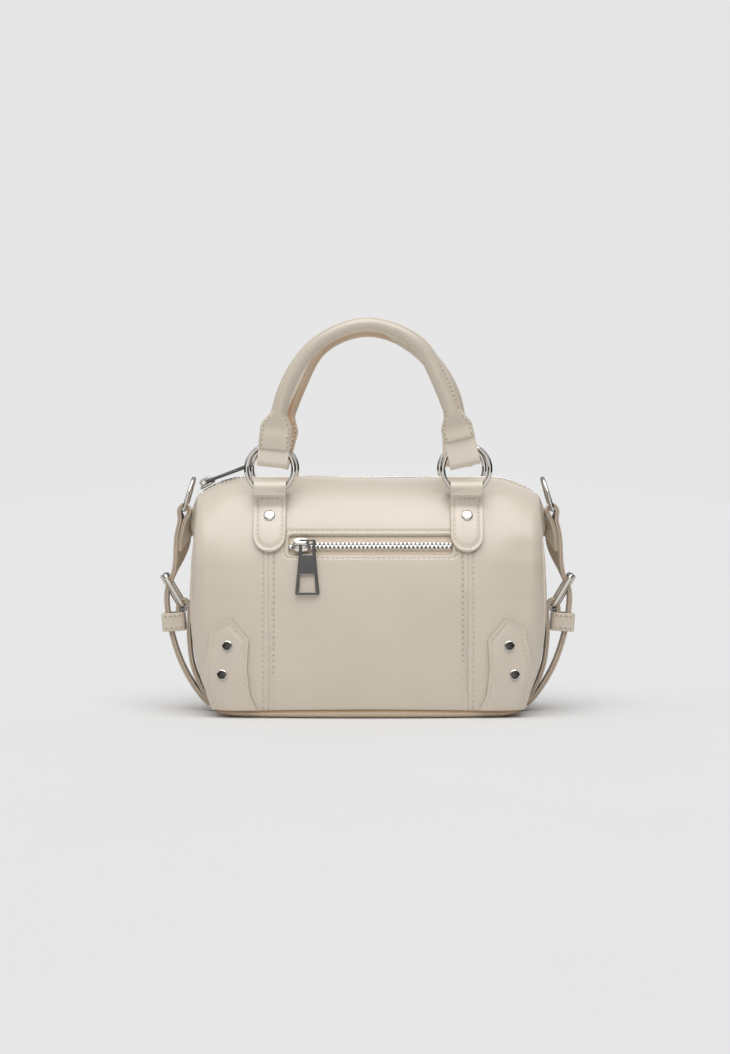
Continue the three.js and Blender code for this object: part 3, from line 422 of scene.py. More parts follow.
def front_relief(x, level, face):
    seam = np.abs(np.abs(x) - UPRIGHT_SEAM_X)
    top = (TOP_LEVEL - level) * TOP_RUN
    base = level - BASE_SEAM_LEVEL - base_lift(x)
    wave = np.cos(2 * np.pi * level / PITCH.seam)
    height = PUCKER.rise * wave * bell(seam, PUCKER.reach, PUCKER.power)
    height = height - seam_roll(seam, UPRIGHT_ROLL) - row_dip(seam - ROW_OFFSET)
    height = height - seam_roll(base) - seam_roll(top) - row_dip(top - TOP_ROW)
    for dent_x, dent_level, wide, high, rise in DENTS:
        height = height + rise * bell(x - dent_x, wide) * bell(level - dent_level, high)
    if face < 0:
        height = height - seam_roll(box_distance(x, level, POCKET), POCKET_ROLL)
        height = height - row_dip(box_distance(x, level, POCKET_FRAME))
    return height


def end_relief(station, level):
    share = np.clip(4 - np.where(station > 4, 8 - station, station), 0, 1)
    side = (1 - share) * END_FOLDS.seam_run
    top = (TOP_LEVEL - level) * TOP_RUN
    wave = END_FOLDS.rise * np.sin(level / END_FOLDS.wave + share * END_FOLDS.skew)
    folds = wave * smoothstep(level, END_FOLDS.low, END_FOLDS.high) * (1 - share)
    return folds - seam_roll(side) - seam_roll(level - BASE_SEAM_LEVEL) - seam_roll(top)


# Meshes from arrays of points

def grid_faces(rows, columns, closed_rows=False, closed_columns=False):
    i = np.arange(rows if closed_rows else rows - 1)
    j = np.arange(columns if closed_columns else columns - 1)
    a, b = np.meshgrid(i, j, indexing="ij")
    a_next = (a + 1) % rows
    b_next = (b + 1) % columns
    corners = [a * columns + b, a * columns + b_next, a_next * columns + b_next, a_next * columns + b]
    return np.stack(corners, axis=-1).reshape(-1, 4)


def border_ring(rows, columns):
    low = np.arange(columns)
    right = np.arange(1, rows) * columns + columns - 1
    high = (rows - 1) * columns + np.arange(columns - 2, -1, -1)
    left = np.arange(rows - 2, 0, -1) * columns
    return np.concatenate([low, right, high, left])


def volume_of(points, groups):
    total = 0
    for faces in groups:
        for k in range(1, faces.shape[1] - 1):
            a, b, c = points[faces[:, 0]], points[faces[:, k]], points[faces[:, k + 1]]
            total += np.einsum("ij,ij->i", a, np.cross(b, c)).sum()
    return total


class Part:
    """Closed points and faces, with the number of a material for each face."""

    def __init__(self, points, groups, slots=None):
        self.points = np.asarray(points, float).reshape(-1, 3)
        self.groups = groups
        self.slots = slots or [np.zeros(len(faces), int) for faces in groups]
        if volume_of(self.points - self.points.mean(axis=0), groups) < 0:
            self.groups = [faces[:, ::-1] for faces in groups]

    def moved(self, turn=np.eye(3), place=(0, 0, 0)):
        return Part(self.points @ turn.T + np.asarray(place), self.groups, self.slots)


def slab(outer, inner):
    rows, columns = outer.shape[:2]
    count = rows * columns
    ring = border_ring(rows, columns)
    after = np.roll(ring, -1)
    skin = grid_faces(rows, columns)
    edge = np.stack([after, ring, ring + count, after + count], axis=-1)
    faces = np.vstack([skin, skin[:, ::-1] + count, edge])
    return Part(np.concatenate([outer, inner]), [faces])


def loft(rings, endless=False, groove=(), inner=()):
    """A skin over rings of equal count, with fans over both ends.

    Groove columns take material 1, inner ones 2.
    """
    rings = np.asarray(rings, float)
    rows, sides = rings.shape[:2]
    skin = grid_faces(rows, sides, endless, True)
    column = np.arange(len(skin)) % sides
    slots = np.where(np.isin(column, inner), 2, np.isin(column, groove).astype(int))
    if endless:
        return Part(rings, [skin], [slots])
    points = np.vstack([rings.reshape(-1, 3), rings[0].mean(axis=0), rings[-1].mean(axis=0)])
    low = np.arange(sides)
    high = low + (rows - 1) * sides
    start = np.full(sides, rows * sides)
    fan_low = np.stack([np.roll(low, -1), low, start], axis=-1)
    fan_high = np.stack([high, np.roll(high, -1), start + 1], axis=-1)
    fans = np.vstack([fan_low, fan_high])
    return Part(points, [skin, fans], [slots, np.zeros(len(fans), int)])


def wire(path, out, radius, sides, endless=False, flat=1.0):
    """A wire or cord along a path. Flat is its width towards out, as a share of its width across."""
    heading = heading_along(path, endless)
    aside = unit(np.cross(heading, out))
    return loft(path[:, None] + radius * circle(sides, aside, flat * np.cross(aside, heading)), endless)


def block(half, power, around, high):
    """A rounded block about the origin."""
    def rounded(value):
        return np.sign(value) * np.abs(value) ** (2 / power)
    tilt = np.linspace(-np.pi / 2, np.pi / 2, high + 1)[1:-1, None]
    turn = (np.arange(around) + 0.5) / around * 2 * np.pi
    x = rounded(np.cos(tilt)) * rounded(np.cos(turn)) * half[0]
    y = rounded(np.cos(tilt)) * rounded(np.sin(turn)) * half[1]
    z = np.broadcast_to(rounded(np.sin(tilt)) * half[2], x.shape)
    return loft(np.stack([x, y, z], axis=-1))


def write_mesh(name, parts):
    mesh = bpy.data.meshes.new(name)
    corners, starts, slots = [], [], []
    first, corner = 0, 0
    for part in parts:
        for faces, numbers in zip(part.groups, part.slots):
            corners.append((faces + first).ravel())
            starts.append(corner + np.arange(len(faces)) * faces.shape[1])
            slots.append(numbers)
            corner += faces.size
        first += len(part.points)
    points = np.concatenate([part.points for part in parts]) * MM
    starts = np.concatenate(starts)
    mesh.vertices.add(len(points))
    mesh.vertices.foreach_set("co", points.astype(np.float32).ravel())
    mesh.loops.add(corner)
    mesh.loops.foreach_set("vertex_index", np.concatenate(corners).astype(np.int32))
    mesh.polygons.add(len(starts))
    mesh.polygons.foreach_set("loop_start", starts.astype(np.int32))
    mesh.polygons.foreach_set("material_index", np.concatenate(slots).astype(np.int32))
    mesh.update(calc_edges=True)
    mesh.validate()
    return mesh


def link(name, data):
    made = bpy.data.objects.new(name, data)
    bpy.context.scene.collection.objects.link(made)
    return made


def place_mesh(name, mesh, finish, node, body, crease):
    """A mesh as a piece: the materials of its finish, the solid that it hides and the body that it rides
    on.
    """
    slot, materials = finish
    mesh.shade_smooth()
    mesh.set_sharp_from_angle(angle=math.radians(crease))
    for material in materials:
        mesh.materials.append(material)
    piece = link(name, mesh)
    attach(piece, body)
    if node:
        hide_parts(node)
    return piece


def add_piece(name, parts, finish, node=None, body="bag", crease=40):
    parts = [parts] if isinstance(parts, Part) else parts
    return place_mesh(name, write_mesh(name, parts), finish, node, body, crease)


# Materials

def new_material(name):
    material = bpy.data.materials.new(name)
    material.use_nodes = True
    tree = material.node_tree
    return material, tree, tree.nodes["Principled BSDF"]


def add_node(tree, kind, **values):
    node = tree.nodes.new(kind)
    for name, value in values.items():
        if name in node.inputs:
            node.inputs[name].default_value = value
        else:
            setattr(node, name, value)
    return node


def pattern(tree, kind, output, **values):
    """A texture in the coordinates of the piece."""
    place = add_node(tree, "ShaderNodeTexCoord")
    made = add_node(tree, kind, **values)
    tree.links.new(place.outputs["Object"], made.inputs["Vector"])
    return made.outputs[output]


NOISE_RANGE = (0.3, 0.7)


def noise(tree, scale, detail=3.0):
    return pattern(tree, "ShaderNodeTexNoise", "Fac", Scale=scale, Detail=detail, Roughness=0.55)


def spread(tree, value, low, high, start=NOISE_RANGE[0], stop=NOISE_RANGE[1], way="LINEAR"):
    """A value carried onto a range."""
    ends = {"From Min": start, "From Max": stop, "To Min": low, "To Max": high}
    node = add_node(tree, "ShaderNodeMapRange", interpolation_type=way, **ends)
    tree.links.new(value, node.inputs["Value"])
    return node.outputs["Result"]


def joined(tree, operation, first, second):
    node = add_node(tree, "ShaderNodeMath", operation=operation)
    tree.links.new(first, node.inputs[0])
    tree.links.new(second, node.inputs[1])
    return node


def colour(tree, shader, factor, low, high):
    ramp = add_node(tree, "ShaderNodeValToRGB")
    for element, position, tone in zip(ramp.color_ramp.elements, NOISE_RANGE, (low, high)):
        element.position = position
        element.color = (*tone, 1)
    tree.links.new(factor, ramp.inputs["Fac"])
    tree.links.new(ramp.outputs["Color"], shader.inputs["Base Color"])


def roughen(tree, shader, factor, low, high):
    tree.links.new(spread(tree, factor, low, high), shader.inputs["Roughness"])


def bump(tree, shader, height, strength, depth_mm, before=None):
    node = add_node(tree, "ShaderNodeBump", Strength=strength, Distance=depth_mm * MM)
    tree.links.new(height, node.inputs["Height"])
    if before:
        tree.links.new(before.outputs["Normal"], node.inputs["Normal"])
    tree.links.new(node.outputs["Normal"], shader.inputs["Normal"])
    return node


def leather(name, low, high, rough=(0.38, 0.5), grain=0.16, gloss=0.95, coat=0.5):
    material, tree, shader = new_material(name)
    colour(tree, shader, noise(tree, scale=26, detail=4), low, high)
    roughen(tree, shader, noise(tree, scale=70, detail=4), *rough)
    shader.inputs["Specular IOR Level"].default_value = gloss
    shader.inputs["Coat Weight"].default_value = coat
    shader.inputs["Coat Roughness"].default_value = 0.3
    waves = bump(tree, shader, noise(tree, scale=34, detail=1), strength=0.35, depth_mm=0.7)
    soft = bump(tree, shader, noise(tree, scale=210, detail=2), strength=0.1, depth_mm=0.5, before=waves)
    pores = pattern(tree, "ShaderNodeTexVoronoi", "Distance", Scale=1150)
    bump(tree, shader, pores, grain, depth_mm=0.16, before=soft)
    return material


def metal(name, low, high, rough, rim=0.05):
    """A polished metal. The rim is the share of light that it keeps at a grazing angle."""
    material, tree, shader = new_material(name)
    shader.inputs["Metallic"].default_value = 1
    shader.inputs["Specular Tint"].default_value = (rim, rim, rim, 1)
    colour(tree, shader, noise(tree, scale=120), low, high)
    roughen(tree, shader, noise(tree, scale=260, detail=5), *rough)
    bump(tree, shader, noise(tree, scale=500, detail=2), strength=0.012, depth_mm=0.2)
    return material


def woven(name, low, high):
    """A cloth of three crossed waves."""
    material, tree, shader = new_material(name)
    waves = [pattern(tree, "ShaderNodeTexWave", "Fac", Scale=520, Distortion=0.4, bands_direction=axis)
             for axis in ("X", "Z", "Y")]
    height = waves[0]
    for wave in waves[1:]:
        mixed = joined(tree, "MULTIPLY_ADD", height, wave)
        mixed.inputs[2].default_value = 0.1
        height = mixed.outputs[0]
    colour(tree, shader, height, low, high)
    shader.inputs["Roughness"].default_value = 0.85
    bump(tree, shader, height, strength=0.5, depth_mm=0.25)
    return material


def spun(name, low, high):
    material, tree, shader = new_material(name)
    colour(tree, shader, noise(tree, scale=900), low, high)
    roughen(tree, shader, noise(tree, scale=1500), low=0.5, high=0.75)
    bump(tree, shader, noise(tree, scale=4000, detail=2), strength=0.4, depth_mm=0.15)
    return material


SMOOTH = ((0.3, 0.42), 0.12)
ROUGH = ((0.5, 0.65), 0.3, 0.3, 0)
BODY = leather("body_leather", (0.66, 0.58, 0.47), (0.695, 0.615, 0.505))
TRIM = leather("trim_leather", (0.67, 0.585, 0.475), (0.705, 0.62, 0.51), *SMOOTH)
# Painted shade: the rolled handle is the trim leather made darker, standing in for the shade on the handles
HANDLE_SHADED_LEATHER = leather("handle_leather_painted_shade", (0.635, 0.55, 0.44), (0.675, 0.59, 0.475), *SMOOTH)
# Painted light: the loops are the trim leather made lighter, standing in for the light that falls on them
LOOP_LIT_LEATHER = leather("loop_leather_painted_light", (0.755, 0.67, 0.555), (0.79, 0.705, 0.59), *SMOOTH)
# Painted shade: the straps are the trim leather made darker, standing in for the shade between the straps
# and the bag
STRAP_SHADED_LEATHER = leather("strap_leather_painted_shade", (0.54, 0.46, 0.365), (0.58, 0.5, 0.405), *SMOOTH)
# Painted bounce light: the base is the body leather made lighter and warmer, standing in for warm light
# bounced into its shaded band
BASE_WARM_LIT = leather("base_leather_painted_bounce", (0.76, 0.615, 0.46), (0.8, 0.655, 0.5))
EDGE = leather("cut_edge", (0.45, 0.29, 0.16), (0.56, 0.39, 0.24), *ROUGH)
# The flesh side: real on the loops' inner faces; at the handles' mouths its brown is also painted shade for
# an opening that is not modelled
FLESH_AND_MOUTH_SHADE = leather("flesh_side_and_mouth_shade", (0.52, 0.35, 0.23), (0.6, 0.43, 0.3), (0.6, 0.75), 0.4, 0.3, 0)
# The straps' back is their flesh side, toned darker and greyer as painted shade on the inner face turned
# towards the bag
STRAP_BACK_SHADED = leather("strap_back_painted_shade", (0.5, 0.415, 0.325), (0.57, 0.48, 0.385), *ROUGH)
# The tan of the handle's seam strip: its raw edges, darkened further as painted shade on the tube's
# underside
SEAM_STRIP_AND_SHADE = leather("tan_seam_strip_and_shade", (0.59, 0.44, 0.31), (0.65, 0.5, 0.37), (0.45, 0.6), 0.25, 0.4, 0.1)
CLOTH = woven("zip_cloth", (0.8, 0.69, 0.55), (0.92, 0.82, 0.68))
THREAD = spun("thread", (0.7, 0.62, 0.5), (0.82, 0.74, 0.62))
# Painted shade: each stitch hole is a dark disc on the leather, coloured for the shade in the hole
HOLE_SHADE = spun("stitch_hole_painted_shade", (0.24, 0.17, 0.11), (0.34, 0.25, 0.175))
NICKEL = metal("polished_nickel", (0.62, 0.59, 0.545), (0.74, 0.71, 0.66), (0.04, 0.08))
# Painted reflection: the patch studs' crowns are polished nickel made near black, standing in for the dark
# room mirrored in them
CROWN_DARK_REFLECTION = metal("nickel_crown_painted_dark_reflection", (0.06, 0.056, 0.052), (0.085, 0.08, 0.075), (0.05, 0.1))
TEETH = metal("zip_teeth", (0.72, 0.71, 0.695), (0.84, 0.83, 0.81), (0.2, 0.32))
GUNMETAL = metal("dark_plate", (0.085, 0.083, 0.081), (0.11, 0.108, 0.106), (0.16, 0.24))

# Finishes: the slot of a piece and its materials
SHELL = ("body_leather", [BODY])
# The base: body leather painted lighter and warmer for bounce light, and the cut edge
UNDERSIDE = ("body_leather", [BASE_WARM_LIT, EDGE])
PLAIN_TRIM = ("trim_leather", [TRIM])
EDGED_TRIM = ("trim_leather", [TRIM, EDGE])
# The handle: leather darkened as painted shade, the flesh side painted as shade at the mouth, and the tan
# seam strip with painted shade
ROLLED = ("trim_leather", [HANDLE_SHADED_LEATHER, FLESH_AND_MOUTH_SHADE, SEAM_STRIP_AND_SHADE])
# The loops: leather lightened as painted light, the cut edge, and the flesh side on their inner faces
LOOPED = ("trim_leather", [LOOP_LIT_LEATHER, EDGE, FLESH_AND_MOUTH_SHADE])
# The straps: leather and back both darkened as painted shade, and the cut edge
STRAPPED = ("trim_leather", [STRAP_SHADED_LEATHER, EDGE, STRAP_BACK_SHADED])
TAPED = ("zip_cloth", [CLOTH])
TOOTHED = ("zip_teeth", [TEETH])
BRIGHT = ("bright_metal", [NICKEL])
RIVETED = ("bright_metal", [NICKEL, NICKEL])
# The patch studs: polished nickel, with the crown painted with a dark reflection
STUDDED = ("bright_metal", [NICKEL, CROWN_DARK_REFLECTION])
# The pull: dark plate, and nickel on its up and down facing edges, polished edges and painted highlight
PLATED = ("pull_metal", [GUNMETAL, NICKEL])
# Stitches: thread, and dark discs of painted shade at the holes
SEWN = (None, [THREAD, HOLE_SHADE])


# Body panels

NEAR_EDGE = np.array([0, 0.07, 0.22, 0.45, 0.8, 1.3, 1.9, 2.5, 2.9, 3.3, 3.7, 4.1, 4.7])
CENTER_GRID = Sizes(along=100, upward=60, rings=88, pitch=1.8)
LEVEL_PITCH = 0.9
SIDE_GRID = Sizes(far=30, corner=18, corner_stop=2.85, corner_run=12, seam_steps=4)
END_GRID = Sizes(run=48, middle=62)
ROUND_GRID = Sizes(center=60, quarter=(20, 14, 26))
CURL_SHARES = np.array([0, 0.06, 0.15, 0.27, 0.4, 0.53, 0.65, 0.76, 0.85, 0.92, 0.97])
CURL = Sizes(inner=0.65, edge_row=7, lowest=0.1, middle=0.02, floor=0.98, inside=0.96, rings=14)


def close_to_ends(low, high, pitch, high_scale=1.0):
    """Numbers from low to high, closer together at both ends."""
    start = low + NEAR_EDGE
    stop = high - NEAR_EDGE[::-1] * high_scale
    count = max(2, int((stop[0] - start[-1]) / pitch))
    middle = np.linspace(start[-1], stop[0], count + 1)[1:-1]
    return np.concatenate([start, middle, stop])


LEVELS = close_to_ends(BASE_SEAM_LEVEL, TOP_LEVEL, LEVEL_PITCH, 1 / TOP_RUN)


def skin_wall(point_at, along, level, relief, step, mirror):
    """The outer and inner points of a panel."""
    point = point_at(along, level)
    normal = normal_of(point_at, along, level, step)
    return (point + normal * relief[..., None]) * mirror, (point - normal * WALL) * mirror


def plain_center(face):
    x, level = np.meshgrid(close_to_ends(-UPRIGHT_SEAM_X, UPRIGHT_SEAM_X, CENTER_GRID.pitch), LEVELS)
    level = lifted(x, level)
    return slab(*skin_wall(front_point, x, level, front_relief(x, level, face), PROBE, (1, -face, 1)))


def rounded_outline(box, per_long, per_short):
    """Points round a box with rounded corners, from its low left corner, a long side first."""
    across = np.linspace(0, 1, per_long, endpoint=False)
    upward = np.linspace(0, 1, per_short, endpoint=False)
    low, high, left, right = box.low, box.high, box.left, box.right
    x = np.concatenate([lerp(left, right, across), np.full(per_short, right),
                        lerp(right, left, across), np.full(per_short, left)])
    z = np.concatenate([np.full(per_long, low), lerp(low, high, upward),
                        np.full(per_long, high), lerp(high, low, upward)])
    inset = box.round
    core_x = np.clip(x, left + inset, right - inset)
    core_z = np.clip(z, low + inset, high - inset)
    away = np.stack([x - core_x, z - core_z], axis=-1)
    if inset > 0:
        away = unit(away) * inset
    return np.stack([core_x, core_z], axis=-1) + away


def slotted_center():
    """The front's middle panel: rings from the pocket's slot out to the panel's four seams."""
    counts = (CENTER_GRID.along, CENTER_GRID.upward)
    limits = Sizes(left=-UPRIGHT_SEAM_X, right=UPRIGHT_SEAM_X, low=BASE_SEAM_LEVEL, high=TOP_LEVEL, round=0)
    slot = rounded_outline(POCKET, *counts)
    border = rounded_outline(limits, *counts)
    reach = np.linalg.norm(border - slot, axis=-1)
    near = NEAR_EDGE[None] / reach[:, None]
    middle = np.linspace(near[:, -1], 1 - near[:, -1], CENTER_GRID.rings + 2, axis=-1)[:, 1:-1]
    share = np.concatenate([near, middle, 1 - near[:, ::-1]], axis=1)
    spot = lerp(slot[:, None], border[:, None], share[..., None]).transpose(1, 0, 2)
    x, level = spot[..., 0], lifted(spot[..., 0], spot[..., 1])
    outer, inner = skin_wall(front_point, x, level, front_relief(x, level, -1), PROBE, (1, 1, 1))
    walls = np.concatenate([outer, inner[::-1]])
    return Part(walls, [grid_faces(*walls.shape[:2], True, True)])


def side_panel(side, face):
    near = 1 + NEAR_EDGE / NEAR_RUN * NEAR_SHARE
    far = np.linspace(near[-1], 2, SIDE_GRID.far)[1:]
    corner = np.linspace(2, SIDE_GRID.corner_stop, SIDE_GRID.corner)[1:]
    seam = 3 - NEAR_EDGE[SIDE_GRID.seam_steps::-1] / SIDE_GRID.corner_run
    s, level = np.meshgrid(np.concatenate([near, far, corner, seam]), LEVELS)
    level = lifted(skin_point(s, level)[..., 0], level)
    point = skin_point(s, level)
    corner_run = (3 - s) * section(level).corner * CORNER_ANGLE
    relief = front_relief(side * point[..., 0], level, face)
    relief = relief - seam_roll(np.where(s > 2, corner_run, SEAM_ROLL))
    return slab(*skin_wall(skin_point, s, level, relief, STATION_PROBE, (side, -face, 1)))


def end_panel(side):
    near = NEAR_EDGE / END_GRID.run
    middle = np.linspace(3 + near[-1], 5 - near[-1], END_GRID.middle)[1:-1]
    s, level = np.meshgrid(np.concatenate([3 + near, middle, 5 - near[::-1]]), LEVELS)
    return slab(*skin_wall(skin_point, s, level, end_relief(s, level), STATION_PROBE, (side, 1, 1)))


def half_round():
    """Stations half way round the bag, from the left upright seam of the front."""
    center = np.linspace(-1, 1, ROUND_GRID.center, endpoint=False)
    spans = [np.linspace(s, s + 1, count, endpoint=False) for s, count in enumerate(ROUND_GRID.quarter, 1)]
    quarter = np.concatenate(spans)
    back_quarter = 8 - np.concatenate([quarter[1:], [4]])[::-1]
    return np.concatenate([center, quarter, back_quarter])


def bottom_panel():
    """The base and the curl of leather up to its seam, which shows the cut edge."""
    half = half_round()
    turn = np.repeat([1, -1], len(half))
    flip = np.stack([turn, turn, np.ones_like(turn)], axis=-1)
    s, share = np.meshgrid(np.tile(half, 2), CURL_SHARES)
    seam_x = skin_point(s, np.full_like(s, BASE_SEAM_LEVEL))[..., 0]
    seam_level = BASE_SEAM_LEVEL + base_lift(seam_x) * (np.abs(s - 4) > 1)
    level = seam_level * share
    point = skin_point(s, level)
    normal = normal_of(skin_point, s, np.maximum(level, CURL.lowest), STATION_PROBE)
    outer = (point - normal * seam_roll(seam_level - level)[..., None]) * flip
    inner = (point - normal * WALL)[CURL_SHARES > CURL.inner] * flip
    floor = np.linspace(CURL.middle, CURL.floor, CURL.rings)[:, None, None]
    inside = np.linspace(CURL.inside, CURL.middle, CURL.rings)[:, None, None]
    level_ring = outer[0] * (1, 1, 0)
    rings = np.concatenate([level_ring * floor, outer, inner[::-1], level_ring * inside + WALL * UP])
    panel = loft(rings)
    row = np.arange(len(panel.groups[0])) // len(turn) - CURL.rings
    panel.slots[0] = ((row >= CURL.edge_row) & (row < len(CURL_SHARES))).astype(int)
    return panel


def add_body():
    for name, face in FACES.items():
        center = slotted_center() if face < 0 else plain_center(face)
        add_piece(f"{name}_center", center, SHELL, f"{name}_center_panel")
        for place, side in SIDES.items():
            add_piece(f"{name}_{place}_side", side_panel(side, face), SHELL, f"{name}_{place}_panel")
    for place, side in SIDES.items():
        add_piece(f"{place}_end", end_panel(side), SHELL, f"{place}_end_panel")
    add_piece("bottom", bottom_panel(), UNDERSIDE, "bottom_panel")


# Stitches: a raised length of thread between two pricked holes, each hole a dark disc of painted shade

OBLIQUE = np.array([0.31, 0.52, 0.79])


def stitch_run(path, normals, pitch):
    size = THREAD_SIZE
    lengths = arc_length(path)
    count = max(1, int(round(lengths[-1] / pitch)))
    pitch = lengths[-1] / count
    t = np.linspace(0, 1, size.steps)
    at = np.arange(count)[:, None] * pitch + size.gap / 2 + t * (pitch - size.gap)
    out = unit(along_path(normals, lengths, at))
    arch = np.sin(np.pi * t) ** size.arch
    middle = along_path(path, lengths, at) + out * lerp(-size.sink, size.rise, arch)[:, None]
    heading = unit(np.gradient(middle, axis=1))
    across = unit(np.cross(heading, out))
    ring = circle(size.sides, across, np.cross(across, heading))
    tubes = middle[:, :, None] + ring * (size.radius * lerp(size.thin, 1, arch))[:, None, None]
    return [loft(tube) for tube in tubes] + stitch_holes(path, normals, np.arange(count + 1) * pitch)


# Holes: dark discs just proud of the leather, painted with the shade that would fall in a pricked hole
def stitch_holes(path, normals, at):
    size = THREAD_SIZE
    lengths = arc_length(path)
    out = unit(along_path(normals, lengths, at))
    aside = unit(np.cross(out, OBLIQUE))
    rims = circle(size.hole_sides, aside, np.cross(out, aside)) * size.hole
    holes = []
    for middle, normal, rim in zip(along_path(path, lengths, at), out, rims):
        hole = loft([middle + rim - normal * size.hole_deep, middle + rim + normal * size.hole_proud])
        hole.slots = [np.ones(len(faces), int) for faces in hole.groups]
        holes.append(hole)
    return holes


def add_stitches(name, runs, body="bag"):
    parts = [part for path, normals, pitch in runs for part in stitch_run(path, normals, pitch)]
    return add_piece(name, parts, SEWN, body=body, crease=60)


def row_on_front(x, level, face, pitch):
    x, level = np.broadcast_arrays(x, level)
    return (*on_front(x, level, front_relief(x, level, face), face), pitch)


def add_seam_stitches():
    near, far = UPRIGHT_SEAM_X - ROW_OFFSET, UPRIGHT_SEAM_X + ROW_OFFSET
    upright = np.linspace(SEAM_ROW.low, SEAM_ROW.high, COUNTS.seam_row)
    top = np.linspace(-SEAM_ROW.top_half, SEAM_ROW.top_half, COUNTS.top_row)
    for name, face in FACES.items():
        runs = [row_on_front(x, upright, face, PITCH.seam) for x in (-near, -far, near, far)]
        runs.append(row_on_front(top, TOP_LEVEL - TOP_ROW / TOP_RUN, face, PITCH.top))
        add_stitches(f"{name}_seam_stitches", runs)
    outline = rounded_outline(POCKET_FRAME, *COUNTS.frame_row)
    outline = np.vstack([outline, outline[:1]])
    add_stitches("pocket_stitches", [row_on_front(outline[:, 0], outline[:, 1], -1, PITCH.pocket)])


# Strips of leather with rounded edges and a fine line where two layers meet

STRIP = Sizes(edge=0.5, edge_deep=0.55, edge_wide=0.5, groove=0.35, groove_wide=0.3, lip=0.2, lip_high=0.42,
              lip_low=0.17)
EDGE_TURNS = np.radians([60, 25])
HALF_SHARES = np.array([0.3, 0.5, 0.62, 0.69, 0.75, 0.81, 0.87, 0.94, 1])
FLAT_SHARES = np.concatenate([-HALF_SHARES[::-1], [0], HALF_SHARES])
FLAT_COLUMNS = len(FLAT_SHARES)
SIDE_COLUMNS = 9


def strip_profile(half, thick, groove):
    """A ring across a strip: places across it and through it, with two rounded layers at each edge."""
    deep = thick / 2
    edge = min(STRIP.edge, deep * STRIP.edge_deep, half * STRIP.edge_wide)
    groove = min(groove, half * STRIP.groove_wide)
    flat = FLAT_SHARES * (half - edge)
    upper_x = np.append(half - edge + edge * np.cos(EDGE_TURNS), [half, half - groove * STRIP.lip])
    lip_z = [deep * STRIP.lip_high, deep * STRIP.lip_low]
    upper_z = np.append(deep - edge + edge * np.sin(EDGE_TURNS), lip_z)
    right_x = np.concatenate([upper_x, [half - groove], upper_x[::-1]])
    right_z = np.concatenate([upper_z, [0], -upper_z[::-1]])
    across = np.concatenate([flat, right_x, flat[::-1], -right_x])
    through = np.concatenate([np.full(FLAT_COLUMNS, deep), right_z, np.full(FLAT_COLUMNS, -deep), -right_z])
    return across, through


FIRST_GROOVE = FLAT_COLUMNS + SIDE_COLUMNS // 2 - 1
SECOND_GROOVE = FIRST_GROOVE + FLAT_COLUMNS + SIDE_COLUMNS
GROOVE_COLUMNS = (FIRST_GROOVE, FIRST_GROOVE + 1, SECOND_GROOVE, SECOND_GROOVE + 1)
INNER_COLUMNS = tuple(range(FLAT_COLUMNS + SIDE_COLUMNS - 2, 2 * FLAT_COLUMNS + SIDE_COLUMNS + 1))


def strip_along(path, across_way, half, thick, inner=(), slant=0.0):
    """A flat strip along a path. The way across it and its slant may change from point to point."""
    heading = heading_along(path)
    across_way = np.broadcast_to(np.asarray(across_way, float), path.shape)
    across_way = unit(across_way - heading * np.einsum("ij,ij->i", across_way, heading)[:, None])
    out = np.cross(heading, across_way)
    sheared = across_way + heading * np.broadcast_to(slant, len(path))[:, None]
    across, through = strip_profile(half, thick, STRIP.groove)
    rings = path[:, None] + across[:, None] * sheared[:, None] + through[:, None] * out[:, None]
    return loft(rings, groove=GROOVE_COLUMNS, inner=inner)


# Chapes

def chape_push(level):
    """How far the tab stands off the body where it rises to its ring."""
    def body_y(at):
        return on_front(RING.x, at, GAP + CHAPE.thick / 2)[0][..., 1]
    low, run = CHAPE.leave, CHAPE.meet - CHAPE.leave
    t = np.clip((level - low) / run, 0, 1)
    start = body_y(low)
    slope = (body_y(low + PROBE) - body_y(low - PROBE)) / (2 * PROBE) * run
    stop = -RING.y - CHAPE.loop_radius
    sheet = start + slope * t * (1 - t) ** 2 + (stop - start) * t * t * (3 - 2 * t)
    return np.where(level > low, body_y(level) - sheet, 0)


def on_chape(across, level, lift, side, face=-1):
    point, normal = on_front(side * RING.x + across, level, lift)
    point[..., 1] -= chape_push(level)
    upright = smoothstep(level, CHAPE.leave, CHAPE.leave + CHAPE.upright_run)
    normal = unit(lerp(normal, -BACK, np.asarray(upright)[..., None]))
    return facing(point, face), facing(normal, face)


def chape_tab(side):
    """The sewn tab with a round low end, on the body and then up to the roll."""
    drop = np.append(TAB_TIP.drops, np.linspace(TAB_TIP.rest, CHAPE.half, COUNTS.tab_tip))
    levels = np.append(CHAPE.low + drop, np.linspace(TAB_TIP.straight, CHAPE.meet, COUNTS.tab))
    below = np.clip(CHAPE.low + CHAPE.half - levels, 0, None)
    halves = np.sqrt(np.clip(CHAPE.half ** 2 - below ** 2, 0, None))
    thicks = CHAPE.thick * np.sqrt(np.clip((levels - CHAPE.low) / TAB_TIP.taper, TAB_TIP.thin, 1))
    rows = np.vstack(chape_rows())
    rings = []
    for level, half, thick in zip(levels, halves, thicks):
        across, through = strip_profile(half, thick, STRIP.groove)
        lift = GAP + CHAPE.thick / 2 + through - sewn_dip(across, level, rows) * (through > 0)
        rings.append(on_chape(across, level, lift, side)[0])
    return loft(rings, groove=GROOVE_COLUMNS)


def chape_roll(side):
    """The leather turned over the ring, from its front round to its back."""
    turned = arc((-RING.y, CHAPE.loop_z), CHAPE.loop_radius, 180, CHAPE.loop_back, COUNTS.roll)
    leg = np.linspace(CHAPE.roll_foot, CHAPE.loop_z, COUNTS.roll_leg)[:-1]
    outline = np.vstack([np.column_stack([np.full_like(leg, turned[0, 0]), leg]), turned])
    path = in_space(outline, (BACK, UP)) + side * RING.x * RIGHT
    return strip_along(path, -RIGHT, CHAPE.half, CHAPE.loop_thick)


